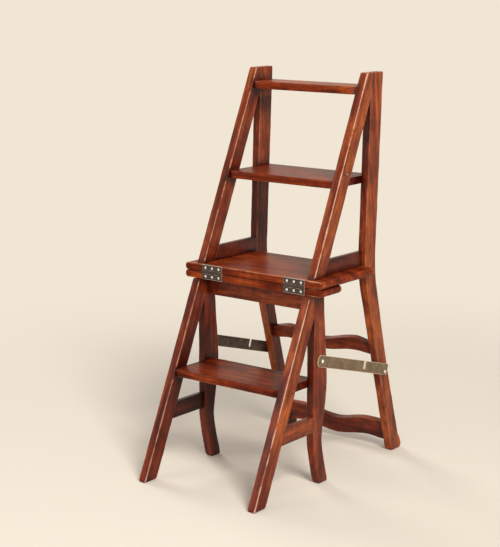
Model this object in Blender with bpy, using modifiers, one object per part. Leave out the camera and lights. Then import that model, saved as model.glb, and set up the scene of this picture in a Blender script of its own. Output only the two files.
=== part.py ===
"""A library step chair: four steps in this pose, an armless chair when its rear half is turned over.

Metres, +Z up. X runs across the chair, to the right of someone climbing the steps, and Y runs
away from the climber. Outlines are drawn from the side, with y measured from the line of the
seat hinges and z from the floor.
"""
import math

import bmesh
import bpy
from mathutils import Matrix

# Whole chair
AXIS_HEIGHT = 0.453
FRAME_HALF_WIDTH = 0.165
STOCK = 0.020
GAP = 0.0003
CUT_OVERRUN = 0.006
ARRIS = 0.0012

# Stringers of the two ladders
LADDER_RUN = 0.2045
STRINGER_DEPTH = 0.0361
FOLD_SETBACK = 0.0005

# Seat boards, stacked in this pose
BOARD_THICKNESS = 0.0168
BOARD_OVERHANG = 0.028
BOARD_EDGE_ROUND = 0.0072
BOARD_CORNER_RADIUS = 0.013
FRONT_BOARD_DEPTH = 0.080
REAR_BOARD_DEPTH = 0.2125
BOARD_PARTING = 0.0005

# Front legs, swept forward at the foot
LEG_FRONT = 0.0110
LEG_TOP_BACK = 0.0472
KNEE_HEIGHT = 0.228
KNEE_BACK = 0.0598
ANKLE_HEIGHT = 0.105
ANKLE_BACK = 0.0425
SWEEP_HEIGHT = 0.110
FOOT_FRONT = 0.0345
FOOT_BACK = 0.0668
SWEEP_POWER = 1.4

# Back posts, one piece from the floor to the top step
POST_BEND_FRONT = 0.2050
POST_BEND_BACK = 0.2455
POST_TOP_FRONT = 0.2225
POST_TOP_BACK = 0.2668
STILE_FOOT_FRONT = 0.3345
STILE_FOOT_BACK = 0.3700
STILE_WAIST = 0.0045
BEND_REACH = 0.045
SCROLL_HEIGHT = 0.036
SCROLL_REACH = 0.0045
SCROLL_POWER = 0.6

# Treads, named from the floor up; the upper two are measured down from the posts' tops
TREAD_THICKNESS = 0.0175
TREAD_HOUSING = 0.010
TREAD_NOSE_RADIUS = 0.0035
LOWER_TREAD_TOP = 0.2430
LOWER_TREAD_BACK = 0.0360
MIDDLE_TREAD_DROP = 0.2310
TOP_TREAD_DROP = 0.0305

# Rails between the legs, stringers and posts
STRETCHER_LOW = 0.1250
STRETCHER_HIGH = 0.1620
STRETCHER_THICKNESS = 0.0115
STRETCHER_INSET = 0.0010
SIDE_RAIL_HEIGHT = 0.0345
SIDE_RAIL_THICKNESS = 0.0110
SIDE_RAIL_INSET = 0.0090
APRON_DEPTH = 0.0395
APRON_FRONT = 0.0235
APRON_THICKNESS = 0.0160

# Shaped rails of the chair's back, close to the floor in this pose
BACK_RAIL_THICKNESS = 0.0160
BACK_RAIL_INSET = 0.0090
CREST_TOP = 0.0707
CREST_BOTTOM = 0.0240
CREST_TOP_DIP = 0.0140
CREST_BOTTOM_DIP = 0.0080
CREST_HUMP = 0.0050
MID_RAIL_TOP = 0.2756
MID_RAIL_BOTTOM = 0.2481
MID_RAIL_DIP = 0.0080
MID_RAIL_HUMP = 0.0085

# Seat hinges
HINGE_FROM_STRINGER = 0.0005
HINGE_LENGTH = 0.058
LEAF_THICKNESS = 0.0020
BARREL_RADIUS = 0.0031
HINGE_PIN_RADIUS = 0.0014
HINGE_PIN_CLEARANCE = 0.0003
PIN_HEAD_HEIGHT = 0.0008
KNUCKLE_COUNT = 5
HINGE_SCREW_SPACING = 0.0190
HINGE_SCREW_HEIGHT = 0.0100
HINGE_SCREW_HEAD = 0.0028
HINGE_SCREW_PROUD = 0.0002
HINGE_SCREW_HEAD_DEPTH = 0.0012
HINGE_SCREW_SHANK = 0.0012
HINGE_SCREW_LENGTH = 0.0100

# Brass straps and what they turn on and drop over
STRAP_PIVOT_Y = 0.0380
STRAP_PIVOT_Z = 0.2838
STRAP_WIDTH = 0.0270
STRAP_THICKNESS = 0.0020
STRAP_TAIL = 0.0105
STRAP_HEEL = 0.0165
STRAP_OFFSET = 0.0006
STRAP_CORNER = 0.0035
STRAP_PIVOT_HOLE = 0.0026
STUD_BELOW_MIDDLE = 0.0060
HOOK_SLOT_WIDTH = 0.0062
CATCH_SLOT_WIDTH = 0.0070
CATCH_SLOT_PAST_MIDDLE = 0.0060
STUD_SHANK = 0.0024
STUD_HEAD = 0.0042
STUD_HEAD_HEIGHT = 0.0024
STUD_DEPTH = 0.0120
STILE_STUD_HEIGHT = 0.2050
STRINGER_STUD_DROP = 0.2170
STRINGER_STUD_FROM_FRONT = 0.0165

# Round pins that hold the lower tread in its stringers
TREAD_PIN_RADIUS = 0.0022
TREAD_PIN_LENGTH = 0.0240
TREAD_PIN_FROM_FRONT = 0.0110
TREAD_PIN_SPACING = 0.0190

# Counts, shares and the angle up to which faces are shaded as one
ROUND_STEPS = 14
EDGE_STEPS = 3
LEG_STEPS = 18
RAIL_STEPS = 20
HUMP_PLACE_share = 0.655
STUD_DOME_shares = ((0.55, 0.85), (1.0, 0.35))
SMOOTH_LIMIT = math.radians(32)

# Sizes that follow from the ones above
TOTAL_HEIGHT = 2 * AXIS_HEIGHT
MIDDLE_TREAD_TOP = TOTAL_HEIGHT - MIDDLE_TREAD_DROP
TOP_TREAD_TOP = TOTAL_HEIGHT - TOP_TREAD_DROP
STRINGER_STUD_HEIGHT = TOTAL_HEIGHT - STRINGER_STUD_DROP
INNER_FACE = FRAME_HALF_WIDTH - STOCK
HINGE_PLACE = INNER_FACE - HINGE_FROM_STRINGER - HINGE_LENGTH / 2
FRAME_MIDDLE = FRAME_HALF_WIDTH - STOCK / 2
LADDER_SLOPE = math.atan2(LADDER_RUN, AXIS_HEIGHT)
STRINGER_REACH = STRINGER_DEPTH / math.cos(LADDER_SLOPE)
FRONT_BOARD_TOP = AXIS_HEIGHT - BOARD_PARTING / 2
FRONT_BOARD_UNDERSIDE = FRONT_BOARD_TOP - BOARD_THICKNESS
REAR_BOARD_UNDERSIDE = AXIS_HEIGHT + BOARD_PARTING / 2
REAR_BOARD_TOP = REAR_BOARD_UNDERSIDE + BOARD_THICKNESS
STILE_RAKE = math.atan2(STILE_FOOT_FRONT - POST_BEND_FRONT, AXIS_HEIGHT)
HINGE_Y = (LADDER_RUN - FOLD_SETBACK - STILE_FOOT_BACK - SCROLL_REACH) / 2

# From the side, a piece is drawn in its local XY plane and then stood up facing X
SIDE_TURN = (math.radians(90), 0, math.radians(90))


def clear_scene():
    for item in list(bpy.data.objects):
        bpy.data.objects.remove(item, do_unlink=True)


def collection(name):
    group = bpy.data.collections.new(name)
    bpy.context.scene.collection.children.link(group)
    return group


def move_to(item, group):
    for old in list(item.users_collection):
        old.objects.unlink(item)
    group.objects.link(item)


clear_scene()
PARTS = collection("library_step_chair")
CUTTERS = collection("cutters")


def material(name, colour, roughness, metallic):
    finish = bpy.data.materials.new(name)
    finish.use_nodes = True
    shader = finish.node_tree.nodes["Principled BSDF"]
    shader.inputs["Base Color"].default_value = (*colour, 1.0)
    shader.inputs["Roughness"].default_value = roughness
    shader.inputs["Metallic"].default_value = metallic
    finish.diffuse_color = (*colour, 1.0)
    return finish


def polished_mahogany(name):
    return material(name + "_mahogany", (0.205, 0.047, 0.020), 0.28, 0.0)


def dark_hinge_iron(name):
    return material(name + "_iron", (0.055, 0.045, 0.038), 0.48, 0.9)


def bright_screw_steel(name):
    return material(name + "_steel", (0.62, 0.58, 0.52), 0.30, 1.0)


def dull_strap_brass(name):
    return material(name + "_brass", (0.30, 0.24, 0.15), 0.50, 0.9)


# Outlines and their points

def along(start, end, share):
    return start + (end - start) * share


def eased(share):
    """Runs from 0 to 1 and is level at both ends."""
    return share * share * (3 - 2 * share)


def stringer_front(z):
    """The front of both ladders, a straight line through the hinge line, set back a little."""
    return LADDER_RUN * (z / AXIS_HEIGHT - 1) + FOLD_SETBACK


def stringer_back(z):
    return stringer_front(z) + STRINGER_REACH


def stringer_back_height(y):
    """The height at which the back of a stringer's line reaches y."""
    return AXIS_HEIGHT * (1 + (y - STRINGER_REACH - FOLD_SETBACK) / LADDER_RUN)


def post_line(bend, top, foot, z):
    """Two straight lines that meet at the seat, with the bend eased over a short reach."""
    up = (top - bend) / (TOTAL_HEIGHT - AXIS_HEIGHT)
    down = (bend - foot) / AXIS_HEIGHT
    rise = z - AXIS_HEIGHT
    if abs(rise) >= BEND_REACH:
        return bend + (up if rise > 0 else down) * rise
    middle = (up + down) / 2
    curve = (up - down) / (4 * BEND_REACH)
    return bend + middle * rise + curve * (rise * rise + BEND_REACH * BEND_REACH)


def post_front(z):
    return post_line(POST_BEND_FRONT, POST_TOP_FRONT, STILE_FOOT_FRONT, z)


def post_back(z):
    """The back of the post, drawn in at the waist and rolled out at the scroll by the floor."""
    y = post_line(POST_BEND_BACK, POST_TOP_BACK, STILE_FOOT_BACK, z)
    if z < AXIS_HEIGHT:
        y -= STILE_WAIST * math.sin(math.pi * z / AXIS_HEIGHT) ** 2
    if z < SCROLL_HEIGHT:
        y += SCROLL_REACH * math.sin(math.pi * (1 - z / SCROLL_HEIGHT) / 2) ** SCROLL_POWER
    return y


def leg_front(z):
    if z >= SWEEP_HEIGHT:
        return LEG_FRONT
    return LEG_FRONT + (FOOT_FRONT - LEG_FRONT) * (1 - z / SWEEP_HEIGHT) ** SWEEP_POWER


def leg_back(z):
    """Full at the knee, slim at the ankle, and swept out to the foot."""
    if z >= KNEE_HEIGHT:
        share = (z - KNEE_HEIGHT) / (FRONT_BOARD_UNDERSIDE - KNEE_HEIGHT)
        return along(KNEE_BACK, LEG_TOP_BACK, eased(share))
    if z >= ANKLE_HEIGHT:
        share = (z - ANKLE_HEIGHT) / (KNEE_HEIGHT - ANKLE_HEIGHT)
        return along(ANKLE_BACK, KNEE_BACK, eased(share))
    return ANKLE_BACK + (FOOT_BACK - ANKLE_BACK) * (1 - z / ANKLE_HEIGHT) ** SWEEP_POWER


def heights(low, high, steps):
    return [along(low, high, step / steps) for step in range(steps + 1)]


def edge_up(line, levels):
    return [(line(z), z) for z in levels]


def closed_outline(front, back):
    """Up the front edge and down the back edge."""
    return front + back[::-1]


def lower_stringer_outline():
    top = FRONT_BOARD_UNDERSIDE - GAP
    butt = LEG_FRONT - GAP
    meet = stringer_back_height(butt)
    front = [(stringer_front(0), 0), (stringer_front(top), top)]
    back = [(stringer_back(0), 0), (butt, meet), (butt, top)]
    return closed_outline(front, back)


def post_meeting_height():
    """The height at which the back of an upper stringer runs into the front of the post."""
    slope = (POST_TOP_FRONT - POST_BEND_FRONT) / AXIS_HEIGHT
    climb = LADDER_RUN / AXIS_HEIGHT
    start = post_front(TOTAL_HEIGHT) - GAP - slope * TOTAL_HEIGHT
    return (start + LADDER_RUN - FOLD_SETBACK - STRINGER_REACH) / (climb - slope)


def upper_stringer_outline():
    """The stringer's back runs up until it meets the front of the post."""
    foot = REAR_BOARD_TOP + GAP
    front = [(stringer_front(foot), foot), (stringer_front(TOTAL_HEIGHT), TOTAL_HEIGHT)]
    back = [(stringer_back(foot), foot)]
    back += [(post_front(z) - GAP, z) for z in (post_meeting_height(), TOTAL_HEIGHT)]
    return closed_outline(front, back)


def leg_outline():
    top = FRONT_BOARD_UNDERSIDE - GAP
    levels = heights(0, SWEEP_HEIGHT, LEG_STEPS // 2) + [top]
    behind = heights(0, ANKLE_HEIGHT, LEG_STEPS // 3)
    behind += heights(ANKLE_HEIGHT, top, LEG_STEPS)[1:]
    return closed_outline(edge_up(leg_front, levels), edge_up(leg_back, behind))


def post_outline():
    bend = heights(AXIS_HEIGHT - BEND_REACH, AXIS_HEIGHT + BEND_REACH, LEG_STEPS // 3)
    front = [0] + bend + [TOTAL_HEIGHT]
    behind = heights(0, SCROLL_HEIGHT, LEG_STEPS // 3)
    behind += heights(SCROLL_HEIGHT, bend[0], LEG_STEPS // 2)[1:] + bend[1:] + [TOTAL_HEIGHT]
    return closed_outline(edge_up(post_front, front), edge_up(post_back, behind))


def tread_outline(top, back):
    """A slanted front that lies in the stringers' plane, with a rounded nose above it."""
    bottom = top - TREAD_THICKNESS
    turn = math.pi / 2 + LADDER_SLOPE
    radius = TREAD_NOSE_RADIUS
    reach = radius * math.tan(turn / 2)
    nose = []
    for step in range(EDGE_STEPS + 1):
        angle = turn * step / EDGE_STEPS
        y = stringer_front(top) + reach - radius * math.sin(turn - angle)
        nose.append((y, top - radius + radius * math.cos(turn - angle)))
    return [(stringer_front(bottom), bottom)] + nose + [(back, top), (back, bottom)]


def stretcher_outline():
    front = [(stringer_back(z) + GAP, z) for z in (STRETCHER_LOW, STRETCHER_HIGH)]
    back = [(leg_front(z) - GAP, z) for z in (STRETCHER_LOW, STRETCHER_HIGH)]
    return closed_outline(front, back)


def side_rail_outline():
    low = REAR_BOARD_TOP + GAP
    high = low + SIDE_RAIL_HEIGHT
    front = [(stringer_back(z) + GAP, z) for z in (low, high)]
    back = [(post_front(z) - GAP, z) for z in heights(low, high, LEG_STEPS // 3)]
    return closed_outline(front, back)


def wave(end, hump, dip, x):
    """A serpentine edge: a swell on each side of the middle, and a hollow in the middle."""
    share = abs(x) / INNER_FACE
    if share < HUMP_PLACE_share:
        return end + along(-dip, hump, eased(share / HUMP_PLACE_share))
    return end + hump * (1 - eased((share - HUMP_PLACE_share) / (1 - HUMP_PLACE_share)))


def back_rail_outline(bottom, top, bottom_wave, top_wave):
    """Across the chair, in the plane of its back. Heights are measured down the raked stile."""
    half = INNER_FACE - GAP
    places = heights(-half, half, RAIL_STEPS)
    lean = math.cos(STILE_RAKE)
    above = [(x, (wave(top, *top_wave, x) - bottom) / lean) for x in places]
    below = [(x, (wave(bottom, *bottom_wave, x) - bottom) / lean) for x in places]
    return above + below[::-1]


# Solids

def filled_curve(name, points, thickness, edge):
    """A flat outline with its edges eased, as thick as asked and centred on its own plane."""
    data = bpy.data.curves.new(name, "CURVE")
    data.dimensions = "2D"
    data.fill_mode = "BOTH"
    data.bevel_depth = edge
    data.bevel_resolution = 0
    data.extrude = thickness / 2 - edge
    data.offset = -edge
    spline = data.splines.new("POLY")
    spline.points.add(len(points) - 1)
    for point, (x, y) in zip(spline.points, points):
        point.co = (x, y, 0, 1)
    spline.use_cyclic_u = True
    return bpy.data.objects.new(name, data)


def mesh_from_curve(item):
    """Replaces a curve object by a closed mesh in the same place, so that it can be cut."""
    PARTS.objects.link(item)
    bpy.context.view_layer.update()
    evaluated = item.evaluated_get(bpy.context.evaluated_depsgraph_get())
    mesh = bpy.data.meshes.new_from_object(evaluated)
    work = bmesh.new()
    work.from_mesh(mesh)
    bmesh.ops.remove_doubles(work, verts=work.verts, dist=GAP / 10)
    bmesh.ops.recalc_face_normals(work, faces=work.faces)
    work.to_mesh(mesh)
    work.free()
    name = item.name
    place = item.matrix_world.copy()
    bpy.data.objects.remove(item, do_unlink=True)
    result = bpy.data.objects.new(name, mesh)
    result.matrix_world = place
    return result


def side_piece(name, points, thickness, x, edge=ARRIS):
    item = filled_curve(name, points, thickness, edge)
    item.location = (x, HINGE_Y, 0)
    item.rotation_euler = SIDE_TURN
    return mesh_from_curve(item)


def part(item, finish, body):
    """Puts a finished piece in the part's collection, under the empty that carries it."""
    move_to(item, PARTS)
    item.data.materials.clear()
    item.data.materials.append(finish(item.name))
    item.data.shade_smooth()
    item.data.set_sharp_from_angle(angle=SMOOTH_LIMIT)
    item.parent = body
    item.matrix_parent_inverse = Matrix.Translation(body.location).inverted()
    return item


def cutter(item):
    move_to(item, CUTTERS)
    item.hide_render = True
    item.display_type = "WIRE"
    return item


def cut(item, tool):
    step = item.modifiers.new("cut_" + tool.name, "BOOLEAN")
    step.operation = "DIFFERENCE"
    step.solver = "EXACT"
    step.object = tool
    return item


def joined(item, tool):
    step = item.modifiers.new("join_" + tool.name, "BOOLEAN")
    step.operation = "UNION"
    step.solver = "EXACT"
    step.object = tool
    return item


def carrier(name, x, y, z):
    empty = bpy.data.objects.new(name, None)
    empty.location = (x, y, z)
    PARTS.objects.link(empty)
    return empty


def box(name, low, high):
    """A box between two corners, given in the side drawing's y and z."""
    work = bmesh.new()
    bmesh.ops.create_cube(work, size=1)
    size = [high[i] - low[i] for i in range(3)]
    middle = [(high[i] + low[i]) / 2 for i in range(3)]
    bmesh.ops.scale(work, vec=size, verts=work.verts)
    mesh = bpy.data.meshes.new(name)
    work.to_mesh(mesh)
    work.free()
    item = bpy.data.objects.new(name, mesh)
    item.location = (middle[0], middle[1] + HINGE_Y, middle[2])
    return item


def rods(name, places, radius, length, turn):
    """Round rods side by side, each starting at its place and running along the turned +Z."""
    work = bmesh.new()
    rotate = Matrix.Rotation(turn[0], 4, turn[1])
    for x, y, z in places:
        lift = Matrix.Translation((0, 0, length / 2))
        place = Matrix.Translation((x, y + HINGE_Y, z))
        bmesh.ops.create_cone(work, cap_ends=True, segments=ROUND_STEPS, radius1=radius,
                              radius2=radius, depth=length, matrix=place @ rotate @ lift)
    mesh = bpy.data.meshes.new(name)
    work.to_mesh(mesh)
    work.free()
    return bpy.data.objects.new(name, mesh)


def turned(name, profile, x, y, z, turn):
    """A round solid from a profile of (radius, height), top to bottom, at +X."""
    work = bmesh.new()
    points = [work.verts.new((radius, 0, height)) for radius, height in profile]
    for first, second in zip(points, points[1:]):
        work.edges.new((first, second))
    mesh = bpy.data.meshes.new(name)
    work.to_mesh(mesh)
    work.free()
    item = bpy.data.objects.new(name, mesh)
    spin = item.modifiers.new("turn", "SCREW")
    spin.steps = ROUND_STEPS
    spin.render_steps = ROUND_STEPS
    spin.use_merge_vertices = True
    spin.merge_threshold = GAP / 10
    item.location = (x, y + HINGE_Y, z)
    item.rotation_euler = turn
    return item


def one_mesh(name, items):
    """Joins separate round solids into one object's mesh, each left as its own solid."""
    work = bmesh.new()
    for item in items:
        PARTS.objects.link(item)
    bpy.context.view_layer.update()
    graph = bpy.context.evaluated_depsgraph_get()
    for item in items:
        mesh = bpy.data.meshes.new_from_object(item.evaluated_get(graph))
        mesh.transform(item.matrix_world)
        work.from_mesh(mesh)
        bpy.data.meshes.remove(mesh)
    for item in items:
        bpy.data.objects.remove(item, do_unlink=True)
    mesh = bpy.data.meshes.new(name)
    work.to_mesh(mesh)
    work.free()
    return bpy.data.objects.new(name, mesh)


# The turn that points local +Z at each direction
TOWARDS_Y = (-math.pi / 2, "X")
FACING_CLIMBER = (math.pi / 2, 0, 0)


def outward(side):
    """The rotation that points a turned piece's +Z away from the chair's middle."""
    return (0, side * math.pi / 2, 0)


def inward_rod(side):
    return (-side * math.pi / 2, "Y")


SIDES = (("left", -1), ("right", 1))
FIXED = carrier("fixed_half", 0, HINGE_Y, AXIS_HEIGHT)
MOVING = carrier("moving_half", 0, HINGE_Y, AXIS_HEIGHT)
STRAP_PIVOTS = {}
for side_name, side in SIDES:
    pivot = (side * FRAME_HALF_WIDTH, HINGE_Y + STRAP_PIVOT_Y, STRAP_PIVOT_Z)
    STRAP_PIVOTS[side] = carrier("strap_turn_" + side_name, *pivot)


# Housings for the treads

def housing(name, top, front, back, side):
    """The groove that takes a tread's end, cut into a member's inner face."""
    inner = side * (INNER_FACE - CUT_OVERRUN)
    outer = side * (INNER_FACE + TREAD_HOUSING + GAP)
    low = (min(inner, outer), front, top - TREAD_THICKNESS - GAP)
    high = (max(inner, outer), back, top + GAP)
    return cutter(box(name, low, high))


def stringer_housing(name, top, side):
    bottom = top - TREAD_THICKNESS
    front = stringer_front(bottom) - CUT_OVERRUN
    return housing(name, top, front, stringer_back(top) + CUT_OVERRUN, side)


def post_housing(name, top, side):
    bottom = top - TREAD_THICKNESS
    front = post_front(bottom) - CUT_OVERRUN
    return housing(name, top, front, post_back(top) + CUT_OVERRUN, side)


def tread_shoulder(board, name, top, far_edge, meeting, side):
    """Frees a tread's end between the stringer and the member behind it, where they stand apart."""
    low = top - TREAD_THICKNESS - CUT_OVERRUN
    high = min(top + CUT_OVERRUN, meeting)
    if low + GAP > high:
        return
    front = [(stringer_back(z), z) for z in (low, high)]
    back = [(far_edge(z), z) for z in (low, high)]
    width = TREAD_HOUSING + CUT_OVERRUN + GAP
    x = side * (INNER_FACE - GAP + width / 2)
    cut(board, cutter(side_piece(name, closed_outline(front, back), width, x, 0)))


def tread(name, top, back, far_edge, meeting, body):
    length = 2 * (INNER_FACE + TREAD_HOUSING)
    board = side_piece(name, tread_outline(top, back), length, 0, 0)
    for side_name, side in SIDES:
        tread_shoulder(board, name + "_shoulder_" + side_name, top, far_edge, meeting, side)
    return part(board, polished_mahogany, body)


def make_treads():
    meeting = stringer_back_height(LEG_FRONT)
    lower = tread("lower_tread", LOWER_TREAD_TOP, LOWER_TREAD_BACK, leg_front, meeting, FIXED)
    for side_name, side in SIDES:
        cut(lower, tread_pin_holes("lower_tread_pin_holes_" + side_name, side))
    for name, top in (("middle_tread", MIDDLE_TREAD_TOP), ("top_tread", TOP_TREAD_TOP)):
        back = post_back(top - TREAD_THICKNESS)
        tread(name, top, back, post_front, post_meeting_height(), MOVING)


# Pins through the lower stringers into the lower tread

def tread_pin_places(side, x):
    z = LOWER_TREAD_TOP - TREAD_THICKNESS / 2
    first = stringer_front(z) + TREAD_PIN_FROM_FRONT
    return [(side * x, first + step * TREAD_PIN_SPACING, z) for step in (0, 1)]


def tread_pin_holes(name, side):
    places = tread_pin_places(side, FRAME_HALF_WIDTH + CUT_OVERRUN)
    depth = TREAD_PIN_LENGTH + CUT_OVERRUN + GAP
    return cutter(rods(name, places, TREAD_PIN_RADIUS + GAP, depth, inward_rod(side)))


def make_tread_pins():
    for side_name, side in SIDES:
        for number, place in enumerate(tread_pin_places(side, FRAME_HALF_WIDTH)):
            name = "tread_pin_" + side_name + "_" + str(number + 1)
            pin = rods(name, [place], TREAD_PIN_RADIUS, TREAD_PIN_LENGTH, inward_rod(side))
            part(pin, polished_mahogany, FIXED)


# Stringers, legs and posts

def make_lower_stringers():
    for side_name, side in SIDES:
        name = "lower_stringer_" + side_name
        stringer = side_piece(name, lower_stringer_outline(), STOCK, side * FRAME_MIDDLE)
        cut(stringer, stringer_housing(name + "_housing", LOWER_TREAD_TOP, side))
        cut(stringer, tread_pin_holes(name + "_pin_holes", side))
        part(stringer, polished_mahogany, FIXED)


def make_upper_stringers():
    for side_name, side in SIDES:
        name = "upper_stringer_" + side_name
        stringer = side_piece(name, upper_stringer_outline(), STOCK, side * FRAME_MIDDLE)
        cut(stringer, stringer_housing(name + "_middle_housing", MIDDLE_TREAD_TOP, side))
        cut(stringer, stringer_housing(name + "_top_housing", TOP_TREAD_TOP, side))
        cut(stringer, stud_hole(name + "_stud_hole", stringer_stud_place(), side))
        part(stringer, polished_mahogany, MOVING)


def make_front_legs():
    for side_name, side in SIDES:
        name = "front_leg_" + side_name
        leg = side_piece(name, leg_outline(), STOCK, side * FRAME_MIDDLE)
        front = LEG_FRONT - CUT_OVERRUN
        groove = housing(name + "_housing", LOWER_TREAD_TOP, front, LOWER_TREAD_BACK + GAP, side)
        cut(leg, groove)
        cut(leg, stud_hole(name + "_screw_hole", (STRAP_PIVOT_Y, STRAP_PIVOT_Z), side))
        part(leg, polished_mahogany, FIXED)


def make_back_posts():
    for side_name, side in SIDES:
        name = "back_post_" + side_name
        post = side_piece(name, post_outline(), STOCK, side * FRAME_MIDDLE)
        cut(post, post_housing(name + "_middle_housing", MIDDLE_TREAD_TOP, side))
        cut(post, post_housing(name + "_top_housing", TOP_TREAD_TOP, side))
        cut(post, stud_hole(name + "_stud_hole", stile_stud_place(), side))
        part(post, polished_mahogany, MOVING)


# Rails

def make_side_rails():
    low_x = FRAME_HALF_WIDTH - STRETCHER_INSET - STRETCHER_THICKNESS / 2
    high_x = FRAME_HALF_WIDTH - SIDE_RAIL_INSET - SIDE_RAIL_THICKNESS / 2
    for side_name, side in SIDES:
        stretcher = side_piece("lower_stretcher_" + side_name, stretcher_outline(),
                               STRETCHER_THICKNESS, side * low_x)
        part(stretcher, polished_mahogany, FIXED)
        rail = side_piece("side_rail_" + side_name, side_rail_outline(),
                          SIDE_RAIL_THICKNESS, side * high_x)
        part(rail, polished_mahogany, MOVING)


def make_front_apron():
    top = FRONT_BOARD_UNDERSIDE - GAP
    low = (-INNER_FACE + GAP, APRON_FRONT, FRONT_BOARD_UNDERSIDE - APRON_DEPTH)
    high = (INNER_FACE - GAP, APRON_FRONT + APRON_THICKNESS, top)
    apron = box("front_apron", low, high)
    ease = apron.modifiers.new("eased_edges", "BEVEL")
    ease.width = ARRIS
    ease.segments = 1
    part(apron, polished_mahogany, FIXED)


def back_rail(name, bottom, top, bottom_wave, top_wave):
    """A shaped rail that lies parallel to the raked stiles, a little behind their front."""
    points = back_rail_outline(bottom, top, bottom_wave, top_wave)
    item = filled_curve(name, points, BACK_RAIL_THICKNESS, ARRIS)
    setback = (BACK_RAIL_INSET + BACK_RAIL_THICKNESS / 2) / math.cos(STILE_RAKE)
    item.location = (0, HINGE_Y + post_front(bottom) + setback, bottom)
    item.rotation_euler = (math.pi / 2 + STILE_RAKE, 0, 0)
    part(mesh_from_curve(item), polished_mahogany, MOVING)


def make_back_rails():
    back_rail("mid_back_rail", MID_RAIL_BOTTOM, MID_RAIL_TOP, (MID_RAIL_HUMP / 2, MID_RAIL_DIP),
              (MID_RAIL_HUMP, MID_RAIL_DIP))
    back_rail("crest_rail", CREST_BOTTOM, CREST_TOP, (CREST_HUMP, CREST_BOTTOM_DIP),
              (CREST_HUMP / 4, CREST_TOP_DIP))


# Seat boards

def board_plan(depth):
    """Square at the hinge edge and rounded at the two far corners, with room to trim the edge."""
    half = FRAME_HALF_WIDTH + BOARD_OVERHANG
    near = -BOARD_EDGE_ROUND - CUT_OVERRUN
    radius = BOARD_CORNER_RADIUS
    points = [(half, near)]
    for side, start in ((1, 0), (-1, math.pi / 2)):
        for step in range(2 * EDGE_STEPS + 1):
            angle = start + math.pi / 2 * step / (2 * EDGE_STEPS)
            x = side * (half - radius) + radius * math.cos(angle)
            points.append((x, depth - radius + radius * math.sin(angle)))
    return points + [(-half, near)]


def round_edged_board(name, depth, underside):
    item = filled_curve(name, board_plan(depth), BOARD_THICKNESS, BOARD_EDGE_ROUND)
    item.data.bevel_resolution = EDGE_STEPS
    item.location = (0, HINGE_Y, underside + BOARD_THICKNESS / 2)
    return mesh_from_curve(item)


def trim_hinge_edge(board, name, underside):
    half = FRAME_HALF_WIDTH + BOARD_OVERHANG + CUT_OVERRUN
    near = -BOARD_EDGE_ROUND - 2 * CUT_OVERRUN
    low = (-half, near, underside - CUT_OVERRUN)
    high = (half, FOLD_SETBACK, underside + BOARD_THICKNESS + CUT_OVERRUN)
    cut(board, cutter(box(name, low, high)))


def hinge_recess(board, name, underside, side):
    """A shallow recess for the leaf, the full thickness of the board, and room for the barrel."""
    half = HINGE_LENGTH / 2 + GAP
    low = (side * HINGE_PLACE - half, FOLD_SETBACK - CUT_OVERRUN, underside - CUT_OVERRUN)
    high = (side * HINGE_PLACE + half, FOLD_SETBACK + LEAF_THICKNESS + GAP,
            underside + BOARD_THICKNESS + CUT_OVERRUN)
    cut(board, cutter(box(name, low, high)))
    start = [(side * HINGE_PLACE - half - PIN_HEAD_HEIGHT, 0, AXIS_HEIGHT)]
    channel = rods(name + "_barrel", start, BARREL_RADIUS + GAP,
                   2 * (half + PIN_HEAD_HEIGHT), (math.pi / 2, "Y"))
    cut(board, cutter(channel))


def hinge_screw_places(above):
    z = AXIS_HEIGHT + above * HINGE_SCREW_HEIGHT
    places = []
    for side in (-1, 1):
        for step in (-1, 0, 1):
            places.append((side * HINGE_PLACE + step * HINGE_SCREW_SPACING, z))
    return places


def hinge_screw_holes(name, above):
    start = FOLD_SETBACK - CUT_OVERRUN
    places = [(x, start, z) for x, z in hinge_screw_places(above)]
    depth = HINGE_SCREW_LENGTH + CUT_OVERRUN + GAP
    return cutter(rods(name, places, HINGE_SCREW_SHANK + GAP, depth, TOWARDS_Y))


def make_front_board():
    name = "seat_front_board"
    board = round_edged_board(name, FRONT_BOARD_DEPTH, FRONT_BOARD_UNDERSIDE)
    trim_hinge_edge(board, name + "_edge", FRONT_BOARD_UNDERSIDE)
    for side_name, side in SIDES:
        hinge_recess(board, name + "_recess_" + side_name, FRONT_BOARD_UNDERSIDE, side)
    cut(board, hinge_screw_holes(name + "_screw_holes", -1))
    part(board, polished_mahogany, FIXED)


def post_notch(name, side):
    """Lets the front of a post into the board's far edge."""
    inner = side * (INNER_FACE - GAP)
    outer = side * (FRAME_HALF_WIDTH + GAP)
    levels = heights(REAR_BOARD_UNDERSIDE, REAR_BOARD_TOP, LEG_STEPS)
    foremost = min(post_front(z) for z in levels)
    low = (min(inner, outer), foremost - GAP, REAR_BOARD_UNDERSIDE - CUT_OVERRUN)
    high = (max(inner, outer), REAR_BOARD_DEPTH + CUT_OVERRUN, REAR_BOARD_TOP + CUT_OVERRUN)
    return cutter(box(name, low, high))


def make_rear_board():
    name = "seat_rear_board"
    board = round_edged_board(name, REAR_BOARD_DEPTH, REAR_BOARD_UNDERSIDE)
    trim_hinge_edge(board, name + "_edge", REAR_BOARD_UNDERSIDE)
    for side_name, side in SIDES:
        hinge_recess(board, name + "_recess_" + side_name, REAR_BOARD_UNDERSIDE, side)
        cut(board, post_notch(name + "_notch_" + side_name, side))
    cut(board, hinge_screw_holes(name + "_screw_holes", 1))
    part(board, polished_mahogany, MOVING)


# Hinges

def knuckle_spans(side, first):
    """The stretches of the barrel that belong to one leaf, every second one from the first."""
    pitch = HINGE_LENGTH / KNUCKLE_COUNT
    start = side * HINGE_PLACE - HINGE_LENGTH / 2
    spans = []
    for step in range(first, KNUCKLE_COUNT, 2):
        low = start + step * pitch + (GAP / 2 if step else 0)
        high = start + (step + 1) * pitch - (GAP / 2 if step + 1 < KNUCKLE_COUNT else 0)
        spans.append((low, high))
    return spans


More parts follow.
